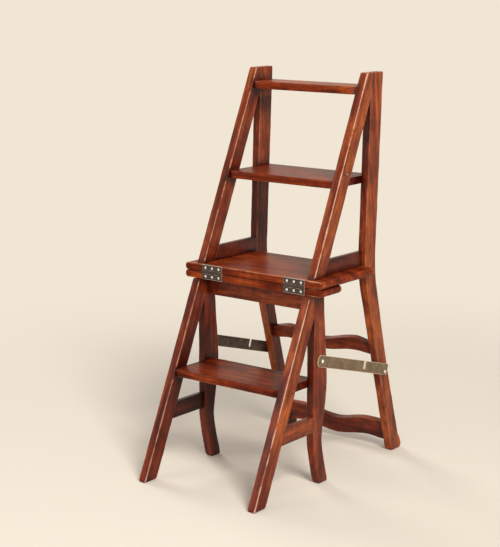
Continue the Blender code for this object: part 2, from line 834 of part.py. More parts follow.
def barrel_rods(name, spans, radius, overrun):
    places = [(low - overrun, 0, AXIS_HEIGHT) for low, high in spans]
    length = spans[0][1] - spans[0][0] + 2 * overrun
    return rods(name, places, radius, length, (math.pi / 2, "Y"))


def hinge_leaf(name, side, above, first, underside, body):
    """A flat leaf let into the board's edge, joined to its knuckles and bored for pin and screws."""
    edge = AXIS_HEIGHT + above * BARREL_RADIUS / 2
    far = underside if above < 0 else underside + BOARD_THICKNESS
    low = (side * HINGE_PLACE - HINGE_LENGTH / 2, FOLD_SETBACK, min(edge, far))
    high = (side * HINGE_PLACE + HINGE_LENGTH / 2, FOLD_SETBACK + LEAF_THICKNESS, max(edge, far))
    leaf = box(name, low, high)
    own = knuckle_spans(side, first)
    others = knuckle_spans(side, 1 - first)
    clear = barrel_rods(name + "_clear", others, BARREL_RADIUS + GAP, GAP)
    cut(leaf, cutter(clear))
    for number, span in enumerate(own):
        knuckle = barrel_rods(name + "_knuckle_" + str(number), [span], BARREL_RADIUS, 0)
        joined(leaf, cutter(knuckle))
    bore_span = [(own[0][0], own[-1][1])]
    bore = barrel_rods(name + "_bore", bore_span, HINGE_PIN_RADIUS + HINGE_PIN_CLEARANCE, CUT_OVERRUN)
    cut(leaf, cutter(bore))
    cut(leaf, leaf_screw_seats(name + "_seats", side, above))
    part(leaf, dark_hinge_iron, body)


def leaf_screw_seats(name, side, above):
    """Round seats, deep enough for a screw's head and open for its shank."""
    seats = []
    for number, step in enumerate((-1, 0, 1)):
        x = side * HINGE_PLACE + step * HINGE_SCREW_SPACING
        z = AXIS_HEIGHT + above * HINGE_SCREW_HEIGHT
        profile = [(0, CUT_OVERRUN), (HINGE_SCREW_HEAD + GAP, CUT_OVERRUN)]
        seat = HINGE_SCREW_HEAD_DEPTH - HINGE_SCREW_PROUD + GAP
        profile += [(HINGE_SCREW_HEAD + GAP, -seat), (HINGE_SCREW_SHANK + GAP, -seat)]
        profile += [(HINGE_SCREW_SHANK + GAP, -CUT_OVERRUN), (0, -CUT_OVERRUN)]
        seats.append(turned(name + str(number), profile, x, FOLD_SETBACK, z, FACING_CLIMBER))
    return cutter(one_mesh(name, seats))


def hinge_screw(name, x, z):
    """A raised-head screw, seen from the climber's side."""
    head = HINGE_SCREW_HEAD
    foot = HINGE_SCREW_PROUD - HINGE_SCREW_HEAD_DEPTH
    profile = [(0, HINGE_SCREW_PROUD), (head / 2, HINGE_SCREW_PROUD), (head, 0), (head, foot)]
    profile += [(HINGE_SCREW_SHANK, foot), (HINGE_SCREW_SHANK, -HINGE_SCREW_LENGTH)]
    profile += [(0, -HINGE_SCREW_LENGTH)]
    return turned(name, profile, x, FOLD_SETBACK, z, FACING_CLIMBER)


def hinge_screws(name, above, body):
    for number, (x, z) in enumerate(hinge_screw_places(above)):
        part(hinge_screw(name + str(number + 1), x, z), bright_screw_steel, body)


def make_hinges():
    for side_name, side in SIDES:
        hinge_leaf("hinge_leaf_front_" + side_name, side, -1, 0, FRONT_BOARD_UNDERSIDE, FIXED)
        hinge_leaf("hinge_leaf_rear_" + side_name, side, 1, 1, REAR_BOARD_UNDERSIDE, MOVING)
        pin = hinge_pin("hinge_pin_" + side_name, side)
        part(pin, dark_hinge_iron, FIXED)
    hinge_screws("hinge_screw_front_", -1, FIXED)
    hinge_screws("hinge_screw_rear_", 1, MOVING)


def hinge_pin(name, side):
    """A plain pin with a low head beyond each end knuckle."""
    half = HINGE_LENGTH / 2 + GAP
    end = half + PIN_HEAD_HEIGHT - GAP
    head = (BARREL_RADIUS + HINGE_PIN_RADIUS) / 2
    profile = [(0, end), (head, end), (head, half), (HINGE_PIN_RADIUS, half)]
    profile += [(radius, -height) for radius, height in profile[::-1]]
    return turned(name, profile, side * HINGE_PLACE, 0, AXIS_HEIGHT, (0, math.pi / 2, 0))


# Straps and studs

def stile_stud_place():
    """On the middle of the stile's outer face."""
    y = (post_front(STILE_STUD_HEIGHT) + post_back(STILE_STUD_HEIGHT)) / 2
    return (y, STILE_STUD_HEIGHT)


def stringer_stud_place():
    return (stringer_front(STRINGER_STUD_HEIGHT) + STRINGER_STUD_FROM_FRONT, STRINGER_STUD_HEIGHT)


def strap_rest_angle():
    """The strap's slope at rest, with the stile's stud at the closed end of its hook."""
    y, z = stile_stud_place()
    run = y - STRAP_PIVOT_Y
    fall = z - STRAP_PIVOT_Z
    return math.atan2(fall, run) + math.asin(STUD_BELOW_MIDDLE / math.hypot(run, fall))


def hook_distance():
    y, z = stile_stud_place()
    reach = math.hypot(y - STRAP_PIVOT_Y, z - STRAP_PIVOT_Z)
    return math.sqrt(reach * reach - STUD_BELOW_MIDDLE * STUD_BELOW_MIDDLE)


def catch_distance():
    """How far along the strap the second stud sits when the chair is turned over."""
    y, z = stringer_stud_place()
    return math.hypot(-y - STRAP_PIVOT_Y, TOTAL_HEIGHT - z - STRAP_PIVOT_Z)


def rounded_slot(centre, mouth, width):
    """A slot's points from its mouth round its closed end, opening towards mouth."""
    way = 1 if mouth > 0 else -1
    along_strap, across = centre
    radius = width / 2
    points = [(along_strap - way * radius, mouth)]
    for step in range(ROUND_STEPS // 2 + 1):
        angle = math.pi * step / (ROUND_STEPS // 2)
        x = along_strap - way * radius * math.cos(angle)
        points.append((x, across - way * radius * math.sin(angle)))
    return points + [(along_strap + way * radius, mouth)]


def strap_outline():
    """Drawn along the strap from its pivot: a plain bar with a hook below and a catch above."""
    half = STRAP_WIDTH / 2
    end = hook_distance() + STRAP_TAIL
    cut_corner = STRAP_CORNER
    catch = (catch_distance(), -CATCH_SLOT_PAST_MIDDLE + CATCH_SLOT_WIDTH / 2)
    hook = (hook_distance(), -STUD_BELOW_MIDDLE)
    points = [(-STRAP_HEEL, -half + 2 * cut_corner), (-STRAP_HEEL + 2 * cut_corner, -half)]
    points += rounded_slot(hook, -half, HOOK_SLOT_WIDTH)[::-1]
    points += [(end - cut_corner, -half), (end, -half + cut_corner), (end, half - cut_corner)]
    points += [(end - cut_corner, half)]
    points += rounded_slot(catch, half, CATCH_SLOT_WIDTH)[::-1]
    points += [(-STRAP_HEEL + 2 * cut_corner, half), (-STRAP_HEEL, half - 2 * cut_corner)]
    return points


def make_straps():
    x = FRAME_HALF_WIDTH + STRAP_OFFSET + STRAP_THICKNESS / 2
    for side_name, side in SIDES:
        name = "strap_" + side_name
        item = filled_curve(name, strap_outline(), STRAP_THICKNESS, GAP)
        item.location = (side * x, HINGE_Y + STRAP_PIVOT_Y, STRAP_PIVOT_Z)
        item.rotation_euler = strap_turn()
        strap = mesh_from_curve(item)
        start = side * (FRAME_HALF_WIDTH + CUT_OVERRUN)
        hole = rods(name + "_hole", [(start, STRAP_PIVOT_Y, STRAP_PIVOT_Z)], STRAP_PIVOT_HOLE,
                    2 * CUT_OVERRUN, inward_rod(side))
        cut(strap, cutter(hole))
        part(strap, dull_strap_brass, STRAP_PIVOTS[side])


def strap_turn():
    """Stands the flat outline up facing X, then tips it to the strap's slope about X."""
    stand = Matrix(((0, 0, 1), (1, 0, 0), (0, 1, 0)))
    tip = Matrix.Rotation(strap_rest_angle(), 3, "X")
    return (tip @ stand).to_euler()


def stud_hole(name, place, side):
    y, z = place
    start = [(side * (FRAME_HALF_WIDTH + CUT_OVERRUN), y, z)]
    depth = STUD_DEPTH + CUT_OVERRUN + GAP
    return cutter(rods(name, start, STUD_SHANK + GAP, depth, inward_rod(side)))


def headed_stud(name, place, side, neck):
    """A turned stud with a domed head, standing out of a member's outer face by its neck."""
    y, z = place
    dome = neck + STUD_HEAD_HEIGHT
    profile = [(0, dome)]
    profile += [(STUD_HEAD * out, along(neck, dome, up)) for out, up in STUD_DOME_shares]
    profile += [(STUD_HEAD, neck), (STUD_SHANK, neck), (STUD_SHANK, -STUD_DEPTH), (0, -STUD_DEPTH)]
    return turned(name, profile, side * FRAME_HALF_WIDTH, y, z, outward(side))


def make_studs():
    neck = STRAP_OFFSET + STRAP_THICKNESS + GAP
    kinds = (("strap_screw_", (STRAP_PIVOT_Y, STRAP_PIVOT_Z), FIXED),
             ("stile_stud_", stile_stud_place(), MOVING),
             ("stringer_stud_", stringer_stud_place(), MOVING))
    for side_name, side in SIDES:
        for name, place, body in kinds:
            stud = headed_stud(name + side_name, place, side, neck)
            part(stud, bright_screw_steel, body)


make_lower_stringers()
make_upper_stringers()
make_front_legs()
make_back_posts()
make_treads()
make_tread_pins()
make_side_rails()
make_front_apron()
make_back_rails()
make_front_board()
make_rear_board()
make_hinges()
make_straps()
make_studs()
bpy.context.view_layer.update()
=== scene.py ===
import math

import bpy
import numpy as np
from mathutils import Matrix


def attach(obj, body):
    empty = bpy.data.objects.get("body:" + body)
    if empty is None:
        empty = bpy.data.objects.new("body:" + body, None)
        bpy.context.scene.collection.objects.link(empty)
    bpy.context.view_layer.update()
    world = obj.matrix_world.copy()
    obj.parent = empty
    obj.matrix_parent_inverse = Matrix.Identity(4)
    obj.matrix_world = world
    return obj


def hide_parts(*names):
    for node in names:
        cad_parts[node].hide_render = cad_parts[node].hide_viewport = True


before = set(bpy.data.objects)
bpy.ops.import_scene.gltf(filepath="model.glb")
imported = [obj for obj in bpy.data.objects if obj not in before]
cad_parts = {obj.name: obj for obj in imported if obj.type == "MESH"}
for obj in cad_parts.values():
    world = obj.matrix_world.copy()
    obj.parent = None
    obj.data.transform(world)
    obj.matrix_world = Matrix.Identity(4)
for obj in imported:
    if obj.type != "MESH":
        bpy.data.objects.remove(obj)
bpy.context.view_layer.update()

# Camera.
# It stands to the right of the climber and a little above the seat, and looks down on
# the chair. Its place and lens put the chair where the photograph has it.
CAMERA_PLACE = (1.9957, -2.6517, 1.1375)
CAMERA_YAW = 37.941
CAMERA_PITCH = 11.661
CAMERA_LENS = 98.13
scene = bpy.context.scene
scene.view_settings.view_transform = "Standard"
lens = bpy.data.cameras.new("camera")
lens.lens = CAMERA_LENS
lens.sensor_width = 36
lens.clip_end = 60
camera = bpy.data.objects.new("camera", lens)
camera.location = CAMERA_PLACE
camera.rotation_euler = (math.radians(90 - CAMERA_PITCH), 0, math.radians(CAMERA_YAW))
scene.collection.objects.link(camera)
scene.camera = camera

# Lower stringers.
# The two sloping sides of the lower ladder, sawn from mahogany and planed square. They
# are polished, and the polish has worn through along the arrises that shoes and hands
# rub; the light line there is painted, worn wood and a painted highlight in one. Each
# butts against the front of its leg under the seat.
HINGE_Y = -0.08525
SEAT_HEIGHT = 0.453
TOTAL_HEIGHT = 2 * SEAT_HEIGHT
HALF_WIDTH = 0.165
STOCK = 0.020
INNER_FACE = HALF_WIDTH - STOCK
JOINT_GAP = 0.0003
LADDER_RUN = 0.2045
LADDER_SETBACK = 0.0005
LADDER_SLOPE = math.atan2(LADDER_RUN, SEAT_HEIGHT)
LADDER_WAY = (0, math.sin(LADDER_SLOPE), math.cos(LADDER_SLOPE))
STRINGER_DEPTH = 0.0361
STRINGER_REACH = STRINGER_DEPTH / math.cos(LADDER_SLOPE)
BOARD_THICKNESS = 0.0168
BOARD_PARTING = 0.0005
FRONT_BOARD_UNDERSIDE = SEAT_HEIGHT - BOARD_PARTING / 2 - BOARD_THICKNESS
LEG_FRONT = 0.0110
TREAD_THICKNESS = 0.0175
LOWER_TREAD_TOP = 0.2430
BAR_ARRIS = 0.0013
END_ROUND = 0.0007
FOOT_ROUND = 0.0042
# The floor counts as a joint at the feet, with the distance times this number: the wood is darkened
# within a few millimetres of the floor, painted shade with grime, and the wear fades there.
FOOT_DARKENING_SCALE = 3.0
BAR_STEP = 0.006
BAR_INSETS = (0.0022, 0.0055)
ARRIS_PITCH = 9
SHARP_ANGLE = 40
SIDES = (("left", -1), ("right", 1))
SIDE_VIEW = ((0, 1, 0), (0, 0, 1), (1, 0, 0))


def wander(t, seed, pitch):
    """Five sines of rising pitch and falling height, with phases drawn from the seed:
    a smooth and repeatable wander between about -1 and 1."""
    phase = np.random.default_rng(seed).uniform(0, 2 * np.pi, 5)
    order = np.arange(5)
    waves = 0.62 ** order * np.sin(2 * np.pi * pitch * 1.87 ** order * t[..., None] + phase)
    return waves.sum(-1) / 1.6


def distance_along(points):
    """How far along a line each of its points lies, as a running sum of its steps."""
    return np.concatenate([[0], np.cumsum(np.linalg.norm(np.diff(points, axis=0), axis=1))])


def face_points(start, stop, insets):
    """Places across a flat face from its start to its stop: at the insets from both ends
    and in the middle, with each one's distance from the nearer end."""
    span = (stop - start)[:, None]
    inward = np.minimum(np.asarray(insets)[None], 0.42 * span)
    places = np.concatenate([start[:, None] + inward, start[:, None] + span / 2,
                             stop[:, None] - inward[:, ::-1]], 1)
    return places, np.concatenate([inward, span / 2, inward[:, ::-1]], 1)


def quarter(radius, steps):
    """Sine and cosine over an evenly stepped quarter turn, times a radius for each row."""
    angle = np.linspace(0, 1, steps + 1)[None] * np.pi / 2
    return radius[:, None] * np.sin(angle), radius[:, None] * np.cos(angle)


def ring_rows(depth, half, radii, insets, curve):
    """Rounded rectangles, one for each row: the near face, the upper wide face, the far
    face and the lower wide face, with a quarter circle of its own radius at each corner.
    Gives the place s into the depth, the height h and the distance to the nearest arris."""
    a, b, c, d = radii
    near, near_gap = face_points(a - half, half - b, insets)
    upper, upper_gap = face_points(b, depth - c, insets)
    far, far_gap = face_points(c - half, half - d, insets)
    lower, lower_gap = face_points(a, depth - d, insets)
    (a_sin, a_cos), (b_sin, b_cos), (c_sin, c_cos), (d_sin, d_cos) = (
        quarter(radius, curve) for radius in radii)
    a, b, c, d, deep = (each[:, None] for each in (a, b, c, d, depth))
    s = np.concatenate([near * 0, b - b_cos, upper, deep - c + c_sin, far * 0 + deep,
                        deep - d + d_cos, lower[:, ::-1], a - a_sin], 1)
    h = np.concatenate([near, half - b + b_sin, upper * 0 + half, half - c + c_cos, -far,
                        d - half - d_sin, lower * 0 - half, a - half - a_cos], 1)
    gap = np.concatenate([near_gap, b_sin * 0, upper_gap, c_sin * 0, far_gap, d_sin * 0,
                          lower_gap, a_sin * 0], 1)
    return s, h, gap


def drawn_in(place, radius):
    """How far a rounded end is drawn in at a distance from it: a quarter circle."""
    left = np.clip(radius - place, 0, radius)
    return radius - np.sqrt(radius ** 2 - left ** 2)


def bar_rows(near, far, thickness, radius, seed, easing, insets, curve, wobble):
    """A bar between two edges, drawn in a plane: at each row a rounded rectangle reaches
    from the near edge to the far edge. The arrises' radii wander along the bar and grow
    towards its ends, and a quarter circle of its own easing rounds each end."""
    place = distance_along(near + far) / 2
    across = far - near
    depth = np.linalg.norm(across, axis=1)
    first, last = np.broadcast_to(easing, 2)
    softer = (drawn_in(place, 4 * first) + drawn_in(place[-1] - place, 4 * last)) / 4
    radii = [np.broadcast_to(radius, 4)[i] * (1 + wobble * wander(place, seed + i, ARRIS_PITCH))
             + softer for i in range(4)]
    s, h, gap = ring_rows(depth, thickness / 2, radii, insets, curve)
    inset = (drawn_in(place, first) + drawn_in(place[-1] - place, last))[:, None]
    share = 0.5 + (s / depth[:, None] - 0.5) * (1 - 2 * inset / depth[:, None])
    h = h * (1 - 2 * inset / thickness)
    rows = near[:, None] + across[:, None] * share[..., None]
    end = np.minimum(place, place[-1] - place)[:, None]
    return np.concatenate([rows, h[..., None]], 2), gap, end + gap * 0


def arris_shares(shares, face, curve):
    """Round a ring, the share of the arris that is nearest: four faces of as many places
    as are given, and a corner after each."""
    a, b, c, d = shares
    first = np.arange(face) < face / 2
    corner = np.ones(curve + 1)
    return np.concatenate([np.where(first, a, b), b * corner, np.where(first, b, c), c * corner,
                           np.where(first, c, d), d * corner, np.where(first, d, a), a * corner])


def tone_rows(tone, at, face, curve):
    """Painted light and shade, along a bar and round it: how much lighter or darker the wood
    is painted where light falls on a face or shade lies on it. It is one number, or places
    along the bar and then the values that its near, upper, far and lower faces have there.
    They change evenly between the places, and a corner has the mean of its two faces."""
    along, *faces = tone if isinstance(tone, tuple) else ((0,), tone, tone, tone, tone)
    four = np.stack([np.interp(at, along, np.broadcast_to(each, len(along))) for each in faces], 1)
    sides = np.eye(4)
    parts = np.concatenate([sides, (sides + np.roll(sides, 1, 1)) / 2], 1).reshape(-1, 4)
    return four @ np.repeat(parts, [face, curve + 1] * 4, axis=0).T


def closed_faces(rows, around):
    """Quads between neighbouring rows of a closed ring, and one face over each end."""
    k, j = np.meshgrid(np.arange(rows - 1), np.arange(around), indexing="ij")
    ahead = (j + 1) % around
    quads = np.stack([k * around + j, k * around + ahead,
                      (k + 1) * around + ahead, (k + 1) * around + j], -1).reshape(-1, 4)
    first = np.arange(around)[::-1]
    last = np.arange(around) + (rows - 1) * around
    return quads.tolist() + [first.tolist(), last.tolist()]


def outward(places, faces):
    """The faces, each turned over if the volume that they close comes out negative."""
    first = np.array([face[:3] for face in faces])
    a, b, c = (places[first[:, i]] - places.mean(0) for i in range(3))
    size = np.array([len(face) - 2 for face in faces])
    inside = (np.cross(a, b) * c).sum(1) * size
    return faces if inside.sum() > 0 else [face[::-1] for face in faces]


def stood(rows, axes, origin):
    """Places in (a, b, h) set out along three axes from an origin."""
    return rows.reshape(-1, 3) @ np.asarray(axes, float) + np.asarray(origin, float)


def grain_of(places, along, seed):
    """Places in the wood's own frame: along the grain first, then across it, turned by a
    quarter-sawn angle and moved to a part of the log that the seed picks."""
    rule = np.random.default_rng(seed)
    along = np.asarray(along, float) / np.linalg.norm(along)
    aside = np.cross(along, (0.31, 0.17, 0.93) if abs(along[2]) < 0.8 else (0.95, 0.2, 0.1))
    aside = aside / np.linalg.norm(aside)
    third = np.cross(along, aside)
    spin = rule.uniform(0.2, 1.2)
    first = math.cos(spin) * aside + math.sin(spin) * third
    second = math.cos(spin) * third - math.sin(spin) * aside
    return places @ np.stack([along, first, second], 1) + rule.uniform(-4, 4, 3)


def finished(name, places, faces, body, material, nodes, values):
    """A closed mesh with its values on its points, smooth but for its sharp edges. It
    rides on its body and stands for its nodes."""
    mesh = bpy.data.meshes.new(name)
    mesh.from_pydata(places, [], faces)
    for key, value in values.items():
        kind, field = ("FLOAT_VECTOR", "vector") if value.ndim == 2 else ("FLOAT", "value")
        layer = mesh.attributes.new(key, kind, "POINT")
        layer.data.foreach_set(field, value.astype("f").ravel())
    mesh.materials.append(material)
    mesh.shade_smooth()
    mesh.set_sharp_from_angle(angle=math.radians(SHARP_ANGLE))
    piece = bpy.data.objects.new(name, mesh)
    scene.collection.objects.link(piece)
    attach(piece, body)
    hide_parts(*nodes)


def wood_values(places, gap, joint, wear, tone, along, seed):
    """A wooden piece's values for its points: distance to an arris, distance to a joint,
    share of wear, which also sets the painted arris highlight, the painted light and shade,
    and the place in the wood's own frame."""
    fill = np.zeros(len(places))
    return {"edge": gap.ravel(), "joint": fill + joint, "wear": fill + wear, "tone": fill + tone,
            "grain": grain_of(places, along, seed)}


def wooden_bar(name, near, far, thickness, axes, origin, along, body, material, seed, nodes,
               radius=BAR_ARRIS, easing=END_ROUND, curve=3, worn_ends=True, wobble=0.45,
               shape=None, jointed=(1, 1), beside=None, wear=0.3, tone=0.0):
    """A bar of wood between two edges, each given by its points in the bar's plane. The
    ends count as arrises if they are worn. The joint value is the distance to a jointed end,
    times the end's own number, or to a piece beside the bar, in metres."""
    near, far = np.asarray(near, float), np.asarray(far, float)
    place = distance_along(near + far) / 2
    turn = 1 - np.cos(np.linspace(0, np.pi / 2, 4))
    first, last = np.broadcast_to(easing, 2)
    at = np.unique(np.concatenate([place, np.arange(0, place[-1], BAR_STEP), first * turn,
                                   place[-1] - last * turn]))
    at = at[np.concatenate([[True], np.diff(at) > 1e-5])]
    near, far = (np.stack([np.interp(at, place, edge[:, i]) for i in range(2)], 1)
                 for edge in (near, far))
    rows, gap, end = bar_rows(near, far, thickness, radius, seed, easing, BAR_INSETS, curve,
                              wobble)
    first, last = jointed
    joint = np.minimum(at * first if first else 1, (at[-1] - at) * last if last else 1)
    joint = joint[:, None] + 0 * gap
    if beside:
        joint = np.minimum(joint, beside(rows))
    if shape:
        rows = shape(rows)
    places = stood(rows, axes, origin)
    face = 2 * len(BAR_INSETS) + 1
    worn = arris_shares(np.broadcast_to(wear, 4), face, curve) + 0 * gap
    values = wood_values(places, np.minimum(gap, end) if worn_ends else gap, joint.ravel(),
                         worn.ravel(), tone_rows(tone, at, face, curve).ravel(), along, seed)
    finished(name, places, outward(places, closed_faces(*gap.shape)), body, material,
             nodes, values)


def add(tree, kind, settings=None, **inputs):
    """Adds a shader node, sets its options, and fills or links each input, which is named or
    given by its number after an underscore."""
    node = tree.nodes.new("ShaderNode" + kind)
    for key, value in (settings or {}).items():
        setattr(node, key, value)
    for key, value in inputs.items():
        socket = node.inputs[int(key[1:])] if key[1:].isdigit() else node.inputs[key]
        if isinstance(value, bpy.types.NodeSocket):
            tree.links.new(value, socket)
        else:
            socket.default_value = value
    return node


def calc(tree, operation, first, second, clamp=False):
    """One sum of two values or sockets."""
    return add(tree, "Math", {"operation": operation, "use_clamp": clamp},
               _0=first, _1=second).outputs[0]


def times(tree, first, second):
    """Two values or sockets multiplied."""
    return calc(tree, "MULTIPLY", first, second)


def spread(tree, value, low, high, start=0.0, end=1.0):
    """Maps low..high smoothly to start..end and holds it there outside them."""
    return add(tree, "MapRange", {"interpolation_type": "SMOOTHSTEP"}, _0=value, _1=low,
               _2=high, _3=start, _4=end).outputs[0]


def noise(tree, vector, scale, detail, roughness, distortion=0.0):
    """Fractal noise of a vector, with as many cells to the metre as the scale gives along
    each of its directions."""
    vector = add(tree, "Mapping", {"vector_type": "POINT"}, Vector=vector, Scale=scale)
    return add(tree, "TexNoise", None, Vector=vector.outputs[0], Scale=1.0, Detail=detail,
               Roughness=roughness, Distortion=distortion).outputs["Fac"]


def between(tree, share, first, second, mode="MIX"):
    """Mixes two colours by a share."""
    node = add(tree, "Mix", {"data_type": "RGBA", "blend_type": mode}, _0=share)
    for index, colour in ((6, first), (7, second)):
        if isinstance(colour, bpy.types.NodeSocket):
            tree.links.new(colour, node.inputs[index])
        else:
            node.inputs[index].default_value = (*colour, 1.0)
    return node.outputs[2]


def ramp(tree, value, stops):
    """A colour ramp of (place, colour) stops."""
    node = add(tree, "ValToRGB", None, Fac=value)
    band = node.color_ramp
    while len(band.elements) < len(stops):
        band.elements.new(0.5)
    for element, (place, colour) in zip(band.elements, stops):
        element.position = place
        element.color = (*colour, 1.0)
    return node.outputs["Color"]


def new_material(name):
    """A material with its node tree and its shader."""
    material = bpy.data.materials.new(name)
    material.use_nodes = True
    return material, material.node_tree, material.node_tree.nodes["Principled BSDF"]


def value_on(tree, key, output="Fac"):
    """A value that the mesh carries on its points."""
    return add(tree, "Attribute", {"attribute_name": key}).outputs[output]


PORE_BROWN = (0.016, 0.004, 0.003)
# The stain colour darkens random patches of old stain and, near joints, paints shade.
STAIN_AND_SHADE_DARKENING = (0.33, 0.22, 0.33)
GRIME_AND_SHADE_REACH = 0.024
# The reaches of the arris line, which is worn wood and a painted highlight in one.
RUB_FROM_JOINT = 0.009
RUB_AND_HIGHLIGHT_REACH = 0.0025
RUB_AND_HIGHLIGHT_FADE = 0.0013
THIN_POLISH_AND_HIGHLIGHT = 0.0028


def mahogany(name, dark, middle, light, worn, rough=0.34, coat=0.15, gleam=0.16, patina=0.4):
    """Old polished mahogany. Its figure is growth bands and a broad ribbon of noise drawn out
    along the grain, moved lighter or darker by the piece's painted light and shade, and
    streaks, a fine fibre and dark pores are shaded over it. The stain is darker in patches,
    and beside the joints a painted shade with grime darkens it the same way. The polish is
    worn thin in a narrow, broken line along the arrises, which is painted lighter as worn
    wood and a painted highlight in one, and the gloss changes with the ribbon."""
    material, tree, shader = new_material(name)
    grain = value_on(tree, "grain", "Vector")
    edge, joint, wear, tone = (value_on(tree, key) for key in ("edge", "joint", "wear", "tone"))
    place = add(tree, "TexCoord").outputs["Object"]
    bands = noise(tree, grain, (2.4, 52, 40), 5, 0.62, 0.7)
    ribbon = noise(tree, grain, (6.5, 17, 15), 3, 0.55, 0.5)
    fibre = noise(tree, grain, (16, 600, 600), 4, 0.65)
    streak = noise(tree, grain, (22, 210, 190), 3, 0.6)
    pores = noise(tree, grain, (120, 1700, 1700), 1, 0.5)
    patches = noise(tree, place, (13, 13, 9), 5, 0.62, 0.6)
    rubbed = noise(tree, place, (75, 75, 40), 2, 0.55)
    broken = noise(tree, place, (22, 22, 15), 3, 0.6)

    figure = calc(tree, "ADD", times(tree, bands, 0.55), times(tree, ribbon, 0.45))
    # The painted light and shade moves the figure lighter on lit faces and darker on shaded ones.
    figure = calc(tree, "ADD", figure, times(tree, tone, 0.065))
    colour = ramp(tree, figure, ((0.37, dark), (0.50, middle), (0.64, light)))
    dark_light = times(tree, spread(tree, fibre, 0.25, 0.75, 0.62, 1.25),
                       spread(tree, streak, 0.30, 0.70, 0.70, 1.28))
    dark_light = times(tree, dark_light, spread(tree, rubbed, 0.30, 0.70, 0.84, 1.16))
    shade = add(tree, "CombineColor", None, Red=dark_light, Green=dark_light, Blue=dark_light)
    colour = between(tree, 1.0, colour, shade.outputs[0], "MULTIPLY")
    pore_mask = spread(tree, pores, 0.60, 0.72)
    colour = between(tree, times(tree, pore_mask, 0.6), colour, PORE_BROWN)

    stain_and_shade_share = times(tree, spread(tree, patches, 0.47, 0.63), patina)
    # Close to a joint the wood is darkened like the stain: painted shade in the corners between
    # parts, with grime gathered there.
    corner = times(tree, spread(tree, joint, 0.001, GRIME_AND_SHADE_REACH, 1.0, 0.0),
                   spread(tree, patches, 0.30, 0.60, 0.45, 1.0))
    stain_and_shade_share = calc(tree, "MAXIMUM", stain_and_shade_share, corner)
    stain_and_shade_colour = between(tree, 1.0, colour, STAIN_AND_SHADE_DARKENING, "MULTIPLY")
    colour = between(tree, stain_and_shade_share, colour, stain_and_shade_colour)

    # Along the open arrises the wood is painted lighter in a narrow broken line and a paler margin:
    # worn polish and a painted highlight in one.
    open_arris = times(tree, spread(tree, joint, 0.0005, RUB_FROM_JOINT), wear)
    reach = times(tree, times(tree, rubbed, spread(tree, broken, 0.30, 0.46)), RUB_AND_HIGHLIGHT_REACH)
    near = calc(tree, "SUBTRACT", times(tree, reach, open_arris), edge)
    rub_and_highlight_mask = calc(tree, "MULTIPLY", spread(tree, near, 0.0001, RUB_AND_HIGHLIGHT_FADE), open_arris, True)
    thinned_and_highlight = times(tree, spread(tree, edge, 0.0003, THIN_POLISH_AND_HIGHLIGHT, 0.35, 0.0), open_arris)
    colour = between(tree, thinned_and_highlight, colour, light)
    colour = between(tree, rub_and_highlight_mask, colour, worn)
    tree.links.new(colour, shader.inputs["Base Color"])

    gloss = calc(tree, "ADD", spread(tree, ribbon, 0.34, 0.66, rough, rough + 0.04),
                 times(tree, rub_and_highlight_mask, 0.10))
    tree.links.new(gloss, shader.inputs["Roughness"])
    tree.links.new(spread(tree, ribbon, 0.38, 0.60, coat * 0.45, coat),
                   shader.inputs["Coat Weight"])
    relief = calc(tree, "SUBTRACT", times(tree, fibre, 0.5), times(tree, pore_mask, 0.6))
    relief = calc(tree, "ADD", relief, times(tree, rubbed, 0.5))
    bump = add(tree, "Bump", None, Height=relief, Strength=0.25, Distance=0.0006)
    tree.links.new(bump.outputs[0], shader.inputs["Normal"])
    shader.inputs["Coat Roughness"].default_value = 0.10
    shader.inputs["Specular IOR Level"].default_value = gleam
    return material


# The fourth colour is the arris line's: worn wood and a painted highlight in one.
FRAME_WOOD = mahogany("frame_mahogany", (0.0532, 0.0059, 0.0024), (0.1634, 0.0195, 0.0042),
                      (0.3515, 0.0731, 0.0114), (0.52, 0.29, 0.20))


def side_piece(word, name, side, front, back, along, body, seed, thickness=STOCK, inset=0.0,
               **more):
    """A bar in one side of the chair. Its outline lies in y and z and its thickness in x, and
    its outer face is an inset inside the chair's own."""
    middle = HALF_WIDTH - inset - thickness / 2
    wooden_bar(word + "_" + name, front, back, thickness, SIDE_VIEW,
               (side * middle, HINGE_Y, 0), along, body, FRAME_WOOD, seed, [name], **more)


def ladder_front(z):
    """The front of both ladders: a straight line through the hinges' height, in y."""
    return LADDER_RUN * (z / SEAT_HEIGHT - 1) + LADDER_SETBACK


def meeting_height(y):
    """The height at which the back of the ladder's line reaches y."""
    return SEAT_HEIGHT * (1 + (y - STRINGER_REACH - LADDER_SETBACK) / LADDER_RUN)


# This distance darkens the wood beside the treads as at a joint, painted shade above and below them
# with grime, and fades the arris wear there.
def beside_treads(side, tops):
    """The distance of points in (y, z, x) up or down from the nearest tread, for those on
    the half of a member that faces it."""
    def distance(rows):
        away = [np.abs(rows[..., 1] - top + TREAD_THICKNESS / 2) - TREAD_THICKNESS / 2
                for top in tops]
        return np.where(rows[..., 2] * side > 0, 1, np.clip(np.min(away, axis=0), 0, 1))
    return distance


butt = LEG_FRONT - JOINT_GAP
stringer_heights = np.array([0, meeting_height(butt), FRONT_BOARD_UNDERSIDE - JOINT_GAP])
stringer_front = np.stack([ladder_front(stringer_heights), stringer_heights], 1)
stringer_back = stringer_front + (STRINGER_REACH, 0)
stringer_back[-1, 0] = butt
# Painted light and shade for the lower stringers: by place along each, the values on its front, +x,
# back and -x faces. The right one is painted lighter where light falls, brightest on its outer face
# low down, and the left one darker as in shade.
LOWER_STRINGER_PAINTED_SHADING = {
    "left": ((0.00, 0.13, 0.22, 0.36), (-0.7, -0.9, -0.6, 0.1), (-1.0, -1.1, -0.7, -0.1), 0, 0),
    "right": ((0.00, 0.13, 0.21, 0.27, 0.36), (0.2, -0.3, -0.3, -0.1, 0.9),
              (0.9, 1.0, 2.3, 2.0, 1.1), 0.5, 0.5)}
